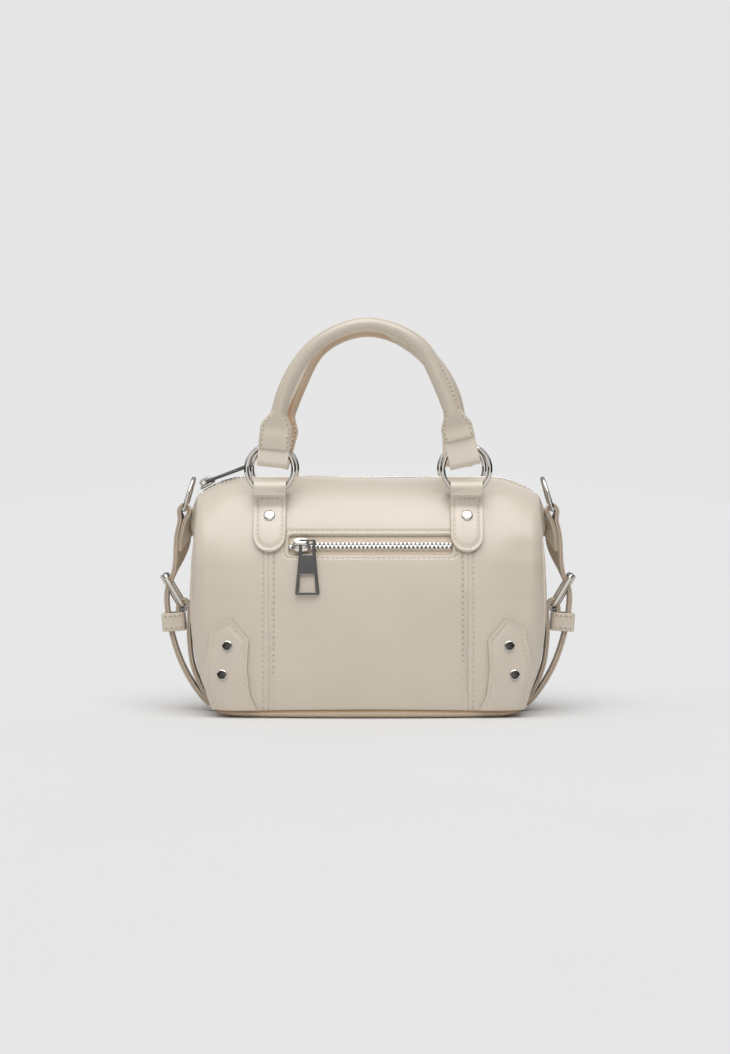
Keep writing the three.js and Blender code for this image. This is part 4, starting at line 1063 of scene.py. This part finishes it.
def chape_rows():
    """Places across the tab and levels of the row round it and of the row under its roll."""
    reach = CHAPE.half - CHAPE.inset
    center = CHAPE.low + CHAPE.half
    leg = np.linspace(CHAPE.row - CHAPE.row_gap, center, COUNTS.row)[:-1]
    down = np.column_stack([np.full_like(leg, -reach), leg])
    cross = np.linspace((-reach, CHAPE.row), (reach, CHAPE.row), COUNTS.row)
    tip = arc((0, center), reach, 180, 360, COUNTS.row_arc)
    return [np.vstack([down, tip, down[::-1] * (-1, 1)]), cross]


def chape_stitches(side, face):
    lift = GAP + CHAPE.thick - SEWN_DIP.depth
    return [(*on_chape(*row.T, lift, side, face), PITCH.chape) for row in chape_rows()]


def rivet(kind, point, out):
    """A domed head. Its crown takes material 1, which on the patch studs is near black nickel, a painted
    dark reflection of the room.
    """
    size, rim = RIVET_HEADS[kind], RIVET.rim
    profile = list(RIVET.foot)
    for share in RIVET.shares:
        profile.append((share, rim + (size.dome - rim) * (1 - share ** RIVET.square) ** RIVET.round))
    aside = unit(np.cross(out, RIVET.start))
    spokes = size.radius * circle(RIVET.sides, aside, np.cross(out, aside))
    head = loft([point + share * spokes + height * out for share, height in profile])
    head.slots[0][RIVET.crown_row * RIVET.sides:] = 1
    head.slots[1][RIVET.sides:] = 1
    return head


def ring_part(side, face):
    center = np.array([side * RING.x, face * RING.y, RING.z])
    path = center + RING.radius * circle(COUNTS.ring, RIGHT, UP)
    return wire(path, BACK, RING.wire, COUNTS.ring_sides, endless=True)


def add_chapes():
    for name, face in FACES.items():
        for place, side in SIDES.items():
            piece = f"{name}_{place}"
            mirror = np.diag([1, -face, 1])
            tab = [part.moved(mirror) for part in (chape_tab(side), chape_roll(side))]
            add_piece(f"{piece}_tab", tab, EDGED_TRIM, f"{piece}_chape")
            add_stitches(f"{piece}_tab_stitches", chape_stitches(side, face))
            lift = GAP * 2 + CHAPE.thick - RIVET.sink
            point = on_chape(0, CHAPE.rivet, lift, side, face)[0]
            out = on_front(side * RING.x, CHAPE.rivet, 0, face)[1]
            add_piece(f"{piece}_tab_rivet", rivet("chape", point, out), RIVETED, f"{piece}_chape_rivet")
            ring = ring_part(side, face)
            add_piece(f"{piece}_round_ring", ring, BRIGHT, f"{piece}_ring", f"{name}_handle_body")


# Handles

def handle_path(sway):
    low = HANDLE_ARCH[0][1]
    points = []
    for x, z in HANDLE_ARCH:
        height = (z - low) / (HANDLE_LEVELS.apex - low)
        lean = sway.left if x < 0 else sway.right
        points.append((x + lean * math.sin(math.pi * height) ** 2, 0, z))
    path = spaced(spline(points, COUNTS.span), HANDLE.steps)
    for _ in range(HANDLE.soften):
        path[1:-1] = (path[:-2] + 2 * path[1:-1] + path[2:]) / 4
    return spaced(path, HANDLE.steps)


def handle_size(points):
    """Half width, half depth, squareness and share of rolling of the handle at each point."""
    x, z = points[..., 0], points[..., 2]
    more = HANDLE.right_more * smoothstep(x, HANDLE.more_low, HANDLE.more_high)
    rolled = smoothstep(z, HANDLE_LEVELS.flat, HANDLE_LEVELS.rolled)
    past_fork = smoothstep(z, HANDLE_LEVELS.fork, HANDLE_LEVELS.flat)
    risen = smoothstep(z, HANDLE_LEVELS.rolled, HANDLE_LEVELS.apex)
    roll = lerp(HANDLE.roll_low, HANDLE.roll_high, risen) + more
    flat = lerp(HANDLE.end_half, HANDLE.neck_half, past_fork)
    power = lerp(HANDLE.flat_power, HANDLE.roll_power, rolled)
    return lerp(HANDLE.flat_half, roll, rolled), lerp(flat, roll, rolled), power, rolled


def seam_strip(count, sides, face):
    """How far places round each section lie past the crease of the closing seam, and inside its strip."""
    seam = HANDLE_SEAM
    share = np.linspace(0, 1, count)
    turn = (np.arange(sides) + 0.5) / sides * 2 * np.pi
    if face < 0:
        share, turn = share[::-1], turn[::-1]
    crease = lerp(seam.turn, seam.gone, smoothstep(share, seam.leave, seam.end))
    past = crease[:, None] - turn
    inside = smoothstep(past, 0, seam.outer_fade)
    return past, inside * smoothstep(turn, seam.inner - seam.inner_fade, seam.inner)


def handle_rings(path, inset, face):
    """Sections of the handle, with a lip and a lower strip where its closing seam runs."""
    seam = HANDLE_SEAM
    outward = unit(np.cross(heading_along(path), BACK))
    side, deep, power, rolled = (value[:, None] for value in handle_size(path))
    turn = (np.arange(HANDLE.sides) + 0.5) / HANDLE.sides * 2 * np.pi
    past, inside = seam_strip(len(path), HANDLE.sides, face)
    lip = seam.ridge * bell(past + seam.ridge_width, seam.ridge_width)
    ridge = 1 + rolled * (lip - seam.sink * inside)
    a, b = (np.sign(wave) * np.abs(wave) ** (2 / power) * ridge * (half - inset)
            for wave, half in ((np.cos(turn), side), (np.sin(turn), deep)))
    return path[:, None] + a[..., None] * outward[:, None] + b[..., None] * BACK


def handle_part(path, face):
    """The rolled handle, with a hollow at each end where its wall turns in."""
    outer, lip, inner = (handle_rings(path, inset, face) for inset in (0, HANDLE.lip, HANDLE.wall))
    step = int(round(HANDLE.depth / arc_length(path)[-1] * (len(path) - 1)))
    first = lerp(outer[0], outer[1], HANDLE.end_round)
    last = lerp(outer[-1], outer[-2], HANDLE.end_round)
    rings = np.array([inner[step], inner[1], inner[0], lip[0], first, *outer[1:-1],
                      last, lip[-1], inner[-1], inner[-2], inner[-1 - step]])
    part = loft(rings)
    part.slots[0] = handle_slots(rings, face)
    return part


def handle_slots(rings, face):
    """Tan along the seam's strip, its raw edges darkened as painted shade under the tube, and the flesh
    side where the flat ends open towards the other handle, its brown painted shade for an opening that is
    not modelled.
    """
    count, sides = rings.shape[:2]
    middle = rings.mean(axis=1)[:-1]
    rolled = handle_size(middle)[3][:, None]
    # The seam's strip: raw edges and painted shade on the lower inner side of the tube
    strip = (seam_strip(count, sides, face)[1][:-1] > HANDLE_SEAM.tan) & (rolled > HANDLE_SEAM.rolled)
    turn = (np.arange(sides) + 1.0) / sides * 2 * np.pi
    # The mouth: a patch of flesh side painted as the shade of an opening between the flat end's layers,
    # whose wall stays closed
    closed = smoothstep(middle[:, 2], HANDLE_MOUTH.low, HANDLE_MOUTH.high)
    mouth = np.abs(turn - np.pi - face * np.pi / 2) < HANDLE_MOUTH.half * (1 - closed)[:, None]
    return np.where(mouth, 1, strip * 2).ravel()


def handle_ends(path):
    """The tip and the lean of the handle's two ends."""
    lengths = arc_length(path)
    near = along_path(path, lengths, np.array([HANDLE.lean_run, lengths[-1] - HANDLE.lean_run]))
    ends = {}
    for name, tip, ahead in zip(SIDES, path[[0, -1]], near):
        ends[name] = (tip, math.atan2(ahead[0] - tip[0], ahead[2] - tip[2]))
    return ends


def loop_part():
    """A strip folded round the ring, with its two ends up inside the handle."""
    middle = (LOOP.inner + LOOP.outer) / 2
    low = LOOP.low + LOOP.outer
    full = middle + LOOP.bulge
    leg = np.linspace(LOOP.high, low, COUNTS.loop_leg)[:-1]
    front = np.column_stack([-lerp(full, middle, smoothstep(leg, low, LOOP.mouth)), leg])
    fold = arc((0, low), (full, middle), 180, 360, COUNTS.loop)
    outline = np.vstack([front, fold, front[::-1] * (-1, 1)])
    path = in_space(outline, (BACK, UP))
    return strip_along(path, RIGHT, LOOP.half, LOOP.outer - LOOP.inner, INNER_COLUMNS)


def leg_spots(path, low, high, count, right):
    """Places up one leg of a handle, and the way out from its arch."""
    lengths = arc_length(path)
    at = np.linspace(low, high, count)
    spots = along_path(path, lengths, lengths[-1] - at if right else at)
    return spots, unit(np.cross(heading_along(spots), BACK)) * (-1 if right else 1)


def handle_stitches(path, face):
    """Rows up both edges of the flat ends, and up the outer side of the leg where the seam comes round."""
    runs = []
    for right in (False, True):
        spots, outward = leg_spots(path, HANDLE_ROWS.low, HANDLE_ROWS.high, COUNTS.flat_row, right)
        side, deep, power, _ = handle_size(spots)
        reach = side - HANDLE_ROWS.inset
        fall = (1 - (reach / side) ** power) ** (1 / power)
        for edge in (-1, 1):
            for layer in (-1, 1):
                point = spots + outward * (reach * edge)[:, None] + layer * BACK * (deep * fall)[:, None]
                runs.append((point, np.broadcast_to(layer * BACK, point.shape), PITCH.handle))
    ends = (HANDLE_ROWS.leg_low, HANDLE_ROWS.leg_high)
    spots, outward = leg_spots(path, *ends, COUNTS.leg_row, face < 0)
    way = outward * math.cos(HANDLE_ROWS.leg_turn) + face * math.sin(HANDLE_ROWS.leg_turn) * BACK
    runs.append((spots + way * handle_size(spots)[0][:, None], way, PITCH.handle))
    return runs


def add_handles():
    for name, face in FACES.items():
        path = handle_path(HANDLE_SWAY[name])
        body = f"{name}_handle_body"
        shift = face * RING.y * BACK
        lengths = arc_length(path)
        sewn = along_path(path, lengths, np.linspace(0, lengths[-1] - HANDLE.right_trim, HANDLE.steps))
        roll = handle_part(sewn, face).moved(place=shift)
        handle = add_piece(f"{name}_rolled_handle", roll, ROLLED, f"{name}_handle", body, HANDLE.crease)
        for place, (tip, lean) in handle_ends(path).items():
            loop = loop_part().moved(turn_y(lean), tip + shift)
            add_piece(f"{name}_{place}_loop", loop, LOOPED, f"{name}_{place}_handle_loop", body)
        runs = [(points + shift, normals, pitch) for points, normals, pitch in handle_stitches(sewn, face)]
        add_stitches(f"{name}_handle_stitches", runs, body)


# Corner patches

def patch_part(side, face):
    table = PATCH_ROWS
    levels = np.unique(np.append(np.linspace(table[0, 0], table[-1, 0], COUNTS.patch), table[:, 0]))
    row = patch_row()
    rings = []
    for level in levels:
        inner, outer = (np.interp(level, table[:, 0], table[:, k]) for k in (1, 2))
        across, through = strip_profile((outer - inner) / 2, PATCH.thick, 0)
        x = (inner + outer) / 2 + across
        lift = PATCH.lift + PATCH.thick / 2 + through - sewn_dip(x, level, row) * (through > 0)
        rings.append(on_front(side * x, level, lift, face)[0])
    return loft(rings)


def inset_outline(outline, inset):
    """A closed outline, counted to the left, drawn in by a distance."""
    ahead = unit(np.roll(outline, -1, axis=0) - outline)
    inward = np.stack([-ahead[:, 1], ahead[:, 0]], axis=-1)
    normal = unit(np.roll(inward, 1, axis=0) + inward)
    half = np.einsum("ij,ij->i", normal, inward)
    return outline + normal * (inset / np.maximum(half, PATCH.sharpest))[:, None]


def patch_row():
    """Places on the right of the row round a patch, open at its foot."""
    outline = np.vstack([PATCH_ROWS[:, [2, 0]], PATCH_ROWS[::-1][:, [1, 0]]])
    path = spaced(inset_outline(outline, PATCH.inset), COUNTS.patch_row)
    return path[path[:, 1] > PATCH_ROWS[0, 0] + PATCH.row_foot]


def patch_stitches(side, face):
    x, level = patch_row().T
    lift = PATCH.lift + PATCH.thick - SEWN_DIP.depth
    return [(*on_front(side * x, level, lift, face), PITCH.patch)]


def add_patches():
    for name, face in FACES.items():
        for place, side in SIDES.items():
            piece = f"{name}_{place}"
            add_piece(f"{piece}_corner_patch", patch_part(side, face), PLAIN_TRIM, f"{piece}_patch")
            add_stitches(f"{piece}_patch_stitches", patch_stitches(side, face))
            for k, (x, level) in enumerate(PATCH_RIVETS, 1):
                lift = PATCH.lift + PATCH.thick + GAP - RIVET.sink
                point, out = on_front(side * x, level, lift, face)
                stud = rivet("patch", point, unit(out + RIVET.patch_tilt * UP))
                add_piece(f"{piece}_patch_stud_{k}", stud, STUDDED, f"{piece}_patch_rivet_{k}")


# Zips

def add_zip(name, tape, points, outs, drop, reach):
    """A zip's tape with the two cords that carry its teeth, and teeth from both edges in turn."""
    heading = heading_along(points)
    across = np.cross(outs, heading)
    cords = [wire(points - outs * drop + across * aside * reach, outs, CORD.radius, CORD.sides)
             for aside in (-1, 1)]
    add_piece(f"{name}_tape", [*tape, *cords], TAPED, f"{name}_zip_tape")
    tooth = block(TOOTH.half, TOOTH.power, TOOTH.around, TOOTH.high)
    teeth = []
    for k, axes in enumerate(np.stack([heading, across, outs], axis=-1)):
        aside = TOOTH.aside if k % 2 else -TOOTH.aside
        teeth.append(tooth.moved(axes, points[k] + across[k] * aside))
    add_piece(f"{name}_teeth", teeth, TOOTHED, f"{name}_zip_chain")


def slider_part(bridge_half):
    """The slider's rounded body with a bail that stands along it."""
    plate, bend, leg = SLIDER.plate, SLIDER.bend, bridge_half - SLIDER.leg / 2
    length, width = SLIDER.half_length, SLIDER.half_width
    body = block((length, width, plate / 2), power=3, around=40, high=16).moved(place=UP * plate / 2)
    cap_half = (length * SLIDER_CAP.length, width * SLIDER_CAP.width, SLIDER_CAP.half)
    cap = block(cap_half, power=2.4, around=32, high=12).moved(place=UP * (plate - SLIDER_CAP.sink))
    high = plate + SLIDER.slot + SLIDER.crown / 2
    corner = arc((bend - leg, high - bend), bend, 180, 90, COUNTS.bail_bend)
    half = np.vstack([[(-leg, plate / 2), (-leg, plate)], corner])
    path = in_space(np.vstack([half, half[::-1] * (-1, 1)]), (RIGHT, UP))
    bail = wire(path, BACK, SLIDER.leg / 2, COUNTS.wire_sides, flat=SLIDER.bridge / SLIDER.leg)
    return [body, cap, bail]


def add_slider(name, bridge, turn, seat):
    slider = [part.moved(turn, seat) for part in slider_part(bridge)]
    add_piece(f"{name}_slider", slider, BRIGHT, f"{name}_zip_slider")


def pull_outlines(length):
    """The outline of a pull, its eye and its window."""
    half, foot, cut, foot_cut = PULL.top_half, PULL.foot_half, PULL.chamfer, PULL.foot_chamfer
    top, eye, low = PULL.top, PULL.eye_half, PULL_WINDOW.rail - length
    rights = (
        [(half - cut, top), (half, top - cut), (half, PULL.shoulder), (foot, foot_cut - length),
         (foot - foot_cut, -length)],
        [(eye, top - PULL.wire), (eye, PULL.eye_low)],
        [(PULL_WINDOW.high_half, PULL_WINDOW.high), (PULL_WINDOW.low_half, low)],
    )
    return [right + [(-x, y) for x, y in right[::-1]] for right in rights]


def pull_mesh(name, length):
    """A plate with bevelled edges, filled from its outlines."""
    curve = bpy.data.curves.new(f"{name}_outline", "CURVE")
    curve.dimensions = "2D"
    curve.fill_mode = "BOTH"
    curve.bevel_depth = PULL.bevel * MM
    curve.bevel_resolution = 3
    curve.extrude = (PULL.thickness / 2 - PULL.bevel) * MM
    curve.offset = -PULL.bevel * MM
    for outline in pull_outlines(length):
        run = curve.splines.new("POLY")
        run.points.add(len(outline) - 1)
        run.use_cyclic_u = True
        for point, (x, y) in zip(run.points, outline):
            point.co = (x * MM, y * MM, 0, 1)
    drawn = link(f"{name}_outline", curve)
    depsgraph = bpy.context.evaluated_depsgraph_get()
    mesh = bpy.data.meshes.new_from_object(drawn.evaluated_get(depsgraph))
    bpy.data.objects.remove(drawn)
    mesh.name = name
    mesh.materials.clear()
    return mesh


def add_pull(name, length, axes, place):
    """A zip's pull. The edges that run across it take polished nickel: real polished edges, and a painted
    highlight, since only the edges facing up and down get it.
    """
    mesh = pull_mesh(f"{name}_pull_plate", length)
    # Painted highlight: bevel faces that face up and down along the pull take the nickel, the side ones
    # stay dark
    painted_highlight = [int(abs(face.normal.y) > PULL.cross_edge) for face in mesh.polygons]
    mesh.polygons.foreach_set("material_index", painted_highlight)
    mesh.transform(Matrix.Translation(Vector(place * MM)) @ Matrix(axes.tolist()).to_4x4())
    place_mesh(mesh.name, mesh, PLATED, f"{name}_zip_pull", f"{name}_pull_body", PULL.crease)


def add_pocket_zip():
    past = TAPE.past
    x = np.linspace(POCKET.left - past, POCKET.right + past, COUNTS.tape[0])
    level = np.linspace(POCKET.low - past, POCKET.high + past / 2, COUNTS.tape[1])
    behind = -(WALL + GAP)
    tape = slab(*(on_front(x, level[:, None], lift)[0] for lift in (behind, behind - TAPE.thickness)))
    teeth_x = np.arange(POCKET.left + CHAIN.start, POCKET.right - CHAIN.stop, CHAIN.pitch)
    points, outs = on_front(teeth_x, CHAIN.level, CHAIN.proud - CHAIN.thickness / 2)
    add_zip("pocket", [tape], points, outs, CORD.pocket_drop, CORD.pocket_reach)
    slider_x = POCKET_PULL.x - SLIDER.pocket_bridge + SLIDER.leg / 2
    seat, out = on_front(slider_x, CHAIN.level, SLIDER_SEAT)
    axes = np.stack([RIGHT, unit(np.cross(out, RIGHT)), out], axis=-1)
    add_slider("pocket", SLIDER.pocket_bridge, axes, seat)
    place = on_front(POCKET_PULL.x, CHAIN.level, PULL_SEAT)[0]
    up = math.sin(POCKET_PULL.tilt) * BACK + math.cos(POCKET_PULL.tilt) * UP
    add_pull("pocket", PULL.pocket_length, np.stack([RIGHT, up, np.cross(RIGHT, up)], axis=-1), place)


def on_zip_line(x, lift):
    """Points, normals and slopes along the top zip."""
    x = np.asarray(x, float)
    slope = np.arctan2(zip_fall(x - PROBE) - zip_fall(x + PROBE), PROBE * 2)
    level = np.zeros_like(x)
    out = np.stack([-np.sin(slope), level, np.cos(slope)], axis=-1)
    return np.stack([x, level, ZIP_LINE.level - zip_fall(x)], axis=-1) + out * lift, out, slope


def zip_strip(end, low, high, half):
    """A strip of cloth along the top zip, between two heights from its line."""
    x = np.linspace(-end, end, COUNTS.top_tape)
    corners = ((low, -half), (high, -half), (high, half), (low, half))
    return loft(np.stack([on_zip_line(x, lift)[0] + y * BACK for lift, y in corners], axis=1))


def add_top_zip():
    end = ZIP_LINE.end - WALL
    drop = -(WALL + TAPE.top_drop)
    tape = [zip_strip(ZIP_LINE.end, drop - TAPE.thickness, drop, TAPE.top_half),
            zip_strip(end, drop, -CORD.top_drop, TAPE.carrier_half)]
    teeth_x = np.arange(CHAIN.stop - end, end - CHAIN.stop, CHAIN.pitch)
    points, outs, _ = on_zip_line(teeth_x, CHAIN.proud - CHAIN.thickness / 2)
    add_zip("top", tape, points, outs, CORD.top_drop, CORD.top_reach)
    seat, _, slope = on_zip_line(TOP_SLIDER_X, SLIDER_SEAT)
    add_slider("top", SLIDER.top_bridge, turn_y(-slope), seat)
    along, _, raised = turn_y(-TOP_PULL_SLOPE).T
    aside = math.cos(TOP_PULL_ROLL) * BACK + math.sin(TOP_PULL_ROLL) * raised
    place = on_zip_line(TOP_SLIDER_X, PULL_SEAT)[0] + along * (PULL.top - PULL.wire / 2)
    add_pull("top", PULL.length, np.stack([aside, -along, np.cross(aside, -along)], axis=-1), place)


# End straps

def end_frame(place, side):
    """The turn and the place of a fitting on one end of the bag."""
    mirror = np.diag([side, 1, 1])
    return mirror @ turn_y(math.radians(place.lean)), mirror @ np.array([place.x, 0, place.z])


def strap_part(route, thick, side, twist=0.0, slant=0.0):
    """A strap along its route.

    Under the ring it twists, its far edge towards the bag, and its tail is cut askew.
    """
    path = spline(in_space(np.array(route), (RIGHT, UP)), COUNTS.strap_span)
    z = path[:, 2]
    full = STRAP.twist_full
    turn = twist * (smoothstep(z, STRAP.twist_low, full) - smoothstep(z, full, STRAP.twist_high))
    across = np.stack([-np.sin(turn), np.cos(turn), np.zeros_like(turn)], axis=-1)
    tail = np.arange(len(z)) < np.argmax(z)
    slant = slant * (1 - smoothstep(z, STRAP.slant_low, STRAP.slant_high)) * tail
    return strip_along(path, across, STRAP.half, thick, INNER_COLUMNS, slant).moved(np.diag([side, 1, 1]))


def d_ring_part():
    half, bend, legs = D_RING.half, D_RING.bend, D_RING.legs
    bow = arc((0, legs), (half, D_RING.height - legs), 0, 180, COUNTS.bow)
    bar = np.linspace((bend - half, 0), (half - bend, 0), COUNTS.bar)
    corner = arc((half - bend, bend), bend, -60, 0, COUNTS.bar_bend)
    outline = np.vstack([bar, corner, bow, corner[::-1] * (-1, 1)])
    return wire(in_space(outline, (BACK, UP)), RIGHT, D_RING.wire, COUNTS.wire_sides, endless=True)


def buckle_part():
    outline = rounded_loop(BUCKLE.half, BUCKLE.length / 2, BUCKLE.corner)
    path = in_space(outline, (BACK, UP)) + UP * BUCKLE.length / 2
    return wire(path, RIGHT, BUCKLE.wire, COUNTS.wire_sides, endless=True)


def prong_part():
    wrap = PRONG.wrap
    shank = np.linspace((wrap, PRONG.rise), (wrap, BUCKLE.length + PRONG.past), COUNTS.shank)
    outline = np.vstack([arc((0, 0), wrap, -180, 0, COUNTS.wrap), shank])
    return wire(in_space(outline, (RIGHT, UP)), BACK, PRONG.wire, COUNTS.prong_sides)


def keeper_part():
    """A band of leather round both straps."""
    inset = KEEPER.wall / 2
    outline = rounded_loop(KEEPER.half_x - inset, KEEPER.half_y - inset, KEEPER.round - inset / 2)
    path = in_space(outline, (RIGHT, BACK))
    out = np.cross(heading_along(path, True), UP)
    across, through = strip_profile(KEEPER.height / 2, KEEPER.wall, 0)
    return loft(path[:, None] + across[:, None] * UP + through[:, None] * out[:, None], endless=True)


def keeper_stitches(turn, place):
    """Short rows near the band's two edges, on the two faces seen from the front and the back."""
    runs = []
    reach, high = KEEPER.row_half, KEEPER.height / 2 - KEEPER.row_inset
    for y in (-1, 1):
        for z in (-1, 1):
            path = np.linspace(-reach * RIGHT, reach * RIGHT, COUNTS.keeper_row)
            path = path + y * KEEPER.half_y * BACK + z * high * UP
            normals = np.broadcast_to(y * BACK, path.shape)
            runs.append((path @ turn.T + place, normals @ turn.T, PITCH.keeper))
    return runs


def add_end_straps():
    for name, side in SIDES.items():
        upper = strap_part(UPPER_ROUTE, STRAP.upper, side, STRAP.twist, STRAP.slant)
        lower = strap_part(LOWER_ROUTE, STRAP.lower, side)
        add_piece(f"{name}_upper", upper, STRAPPED, f"{name}_upper_strap")
        add_piece(f"{name}_lower", lower, STRAPPED, f"{name}_lower_strap")
        fittings = (
            ("strap_ring", d_ring_part(), D_RING, BRIGHT, "d_ring", f"{name}_d_ring_body"),
            ("buckle", buckle_part(), BUCKLE, BRIGHT, "buckle_frame", "bag"),
            ("prong", prong_part(), BUCKLE, BRIGHT, "buckle_prong", "bag"),
            ("strap_keeper", keeper_part(), KEEPER, PLAIN_TRIM, "keeper", "bag"),
        )
        for piece, part, place, finish, node, body in fittings:
            fitted = part.moved(*end_frame(place, side))
            add_piece(f"{name}_{piece}", fitted, finish, f"{name}_{node}", body)
        add_stitches(f"{name}_keeper_stitches", keeper_stitches(*end_frame(KEEPER, side)))


# Stage, light and camera

CAMERA = Sizes(x=-2.0, y=-1655, z=160, pitch=1.545, lens=89.9, sensor=36, clip_end=200000)
FLOOR = Sizes(half_x=1200, half_y=40000, drop=0.2, rough=0.9, gloss=0.1)
FLOOR_TONES = ((0.73, 0.73, 0.73), (0.74, 0.74, 0.74))
ROOM_TONE = (0.46, 0.46, 0.465, 1)
BACKDROP_TONE = (0.79, 0.79, 0.79, 1)

# Light by direction: its strength, between two heights or two shares of the way back
DOME_ABOVE = {"low": 0, "high": 1, "start": 0.42, "stop": 0.66, "way": "SMOOTHSTEP"}
DOME_BEHIND = {"low": 0.24, "high": 1.5, "start": 0.28, "stop": 0.55, "way": "SMOOTHSTEP"}
ROOM_ABOVE = {"low": 0, "high": 1.2, "start": 0.2, "stop": 0.5}
ROOM_FRONT = {"low": 2.5, "high": 0, "start": -0.96, "stop": -0.8}
ROOM_BEHIND = {"low": 0, "high": 2.2, "start": 0.72, "stop": 0.88}

# Each sun has its name, strength, size, height and bearing in degrees
SUNS = (("key", 2.12, 62, 65, 0), ("left_fill", 0.25, 50, 28, -80))


def add_floor():
    material, tree, shader = new_material("pale_floor")
    shader.inputs["Roughness"].default_value = FLOOR.rough
    shader.inputs["Specular IOR Level"].default_value = FLOOR.gloss
    colour(tree, shader, noise(tree, scale=3), *FLOOR_TONES)
    mesh = bpy.data.meshes.new("floor")
    half_x, half_y = FLOOR.half_x * MM, FLOOR.half_y * MM
    corners = [(-half_x, -half_y, 0), (half_x, -half_y, 0), (half_x, half_y, 0), (-half_x, half_y, 0)]
    mesh.from_pydata(corners, [], [(0, 1, 2, 3)])
    mesh.materials.append(material)
    floor = link("floor", mesh)
    floor.location.z = -FLOOR.drop * MM


def brightest(tree, first, *others):
    for other in others:
        first = joined(tree, "MAXIMUM", first, other).outputs[0]
    return first


def shine(tree, node, tone, strength):
    node.inputs["Color"].default_value = tone
    tree.links.new(strength, node.inputs["Strength"])
    return node.outputs["Background"]


def split_rays(tree, rays, others, chosen):
    """One light for the rays of a kind, and another for all others."""
    node = add_node(tree, "ShaderNodeMixShader")
    tree.links.new(rays, node.inputs["Fac"])
    tree.links.new(others, node.inputs[1])
    tree.links.new(chosen, node.inputs[2])
    return node.outputs["Shader"]


def add_world():
    """A soft dome of light, a room for the metal to mirror, and an even tone behind the bag."""
    world = bpy.data.worlds.new("studio")
    bpy.context.scene.world = world
    world.use_nodes = True
    tree = world.node_tree
    place = add_node(tree, "ShaderNodeTexCoord")
    split = add_node(tree, "ShaderNodeSeparateXYZ")
    tree.links.new(place.outputs["Generated"], split.inputs["Vector"])
    back, up = split.outputs["Y"], split.outputs["Z"]
    dome = brightest(tree, spread(tree, up, **DOME_ABOVE), spread(tree, back, **DOME_BEHIND))
    room = brightest(tree, spread(tree, up, **ROOM_ABOVE), spread(tree, back, **ROOM_FRONT),
                     spread(tree, back, **ROOM_BEHIND))
    lit = shine(tree, tree.nodes["Background"], ROOM_TONE, dome)
    mirrored = shine(tree, add_node(tree, "ShaderNodeBackground"), ROOM_TONE, room)
    backdrop = add_node(tree, "ShaderNodeBackground", Color=BACKDROP_TONE).outputs["Background"]
    rays = add_node(tree, "ShaderNodeLightPath").outputs
    light = split_rays(tree, rays["Is Glossy Ray"], lit, mirrored)
    seen = split_rays(tree, rays["Is Camera Ray"], light, backdrop)
    tree.links.new(seen, tree.nodes["World Output"].inputs["Surface"])


def add_suns():
    """Broad soft lights. Bearing 0 shines from the front, 90 from the right."""
    for name, strength, size, height, bearing in SUNS:
        data = bpy.data.lights.new(name, "SUN")
        data.energy = strength
        data.angle = math.radians(size)
        sun = link(name, data)
        high, around = math.radians(height), math.radians(bearing)
        level = math.cos(high)
        towards = Vector((math.sin(around) * level, -math.cos(around) * level, math.sin(high)))
        sun.rotation_mode = "QUATERNION"
        sun.rotation_quaternion = towards.to_track_quat("Z", "Y")


def add_camera():
    data = bpy.data.cameras.new("camera")
    data.lens = CAMERA.lens
    data.sensor_width = CAMERA.sensor
    data.clip_end = CAMERA.clip_end * MM
    camera = link("camera", data)
    camera.location = Vector((CAMERA.x, CAMERA.y, CAMERA.z)) * MM
    camera.rotation_euler = (math.radians(90 - CAMERA.pitch), 0, 0)
    bpy.context.scene.camera = camera


add_body()
add_seam_stitches()
add_chapes()
add_handles()
add_patches()
add_pocket_zip()
add_top_zip()
add_end_straps()
add_floor()
add_world()
add_suns()
add_camera()
bpy.context.scene.view_settings.view_transform = "Standard"
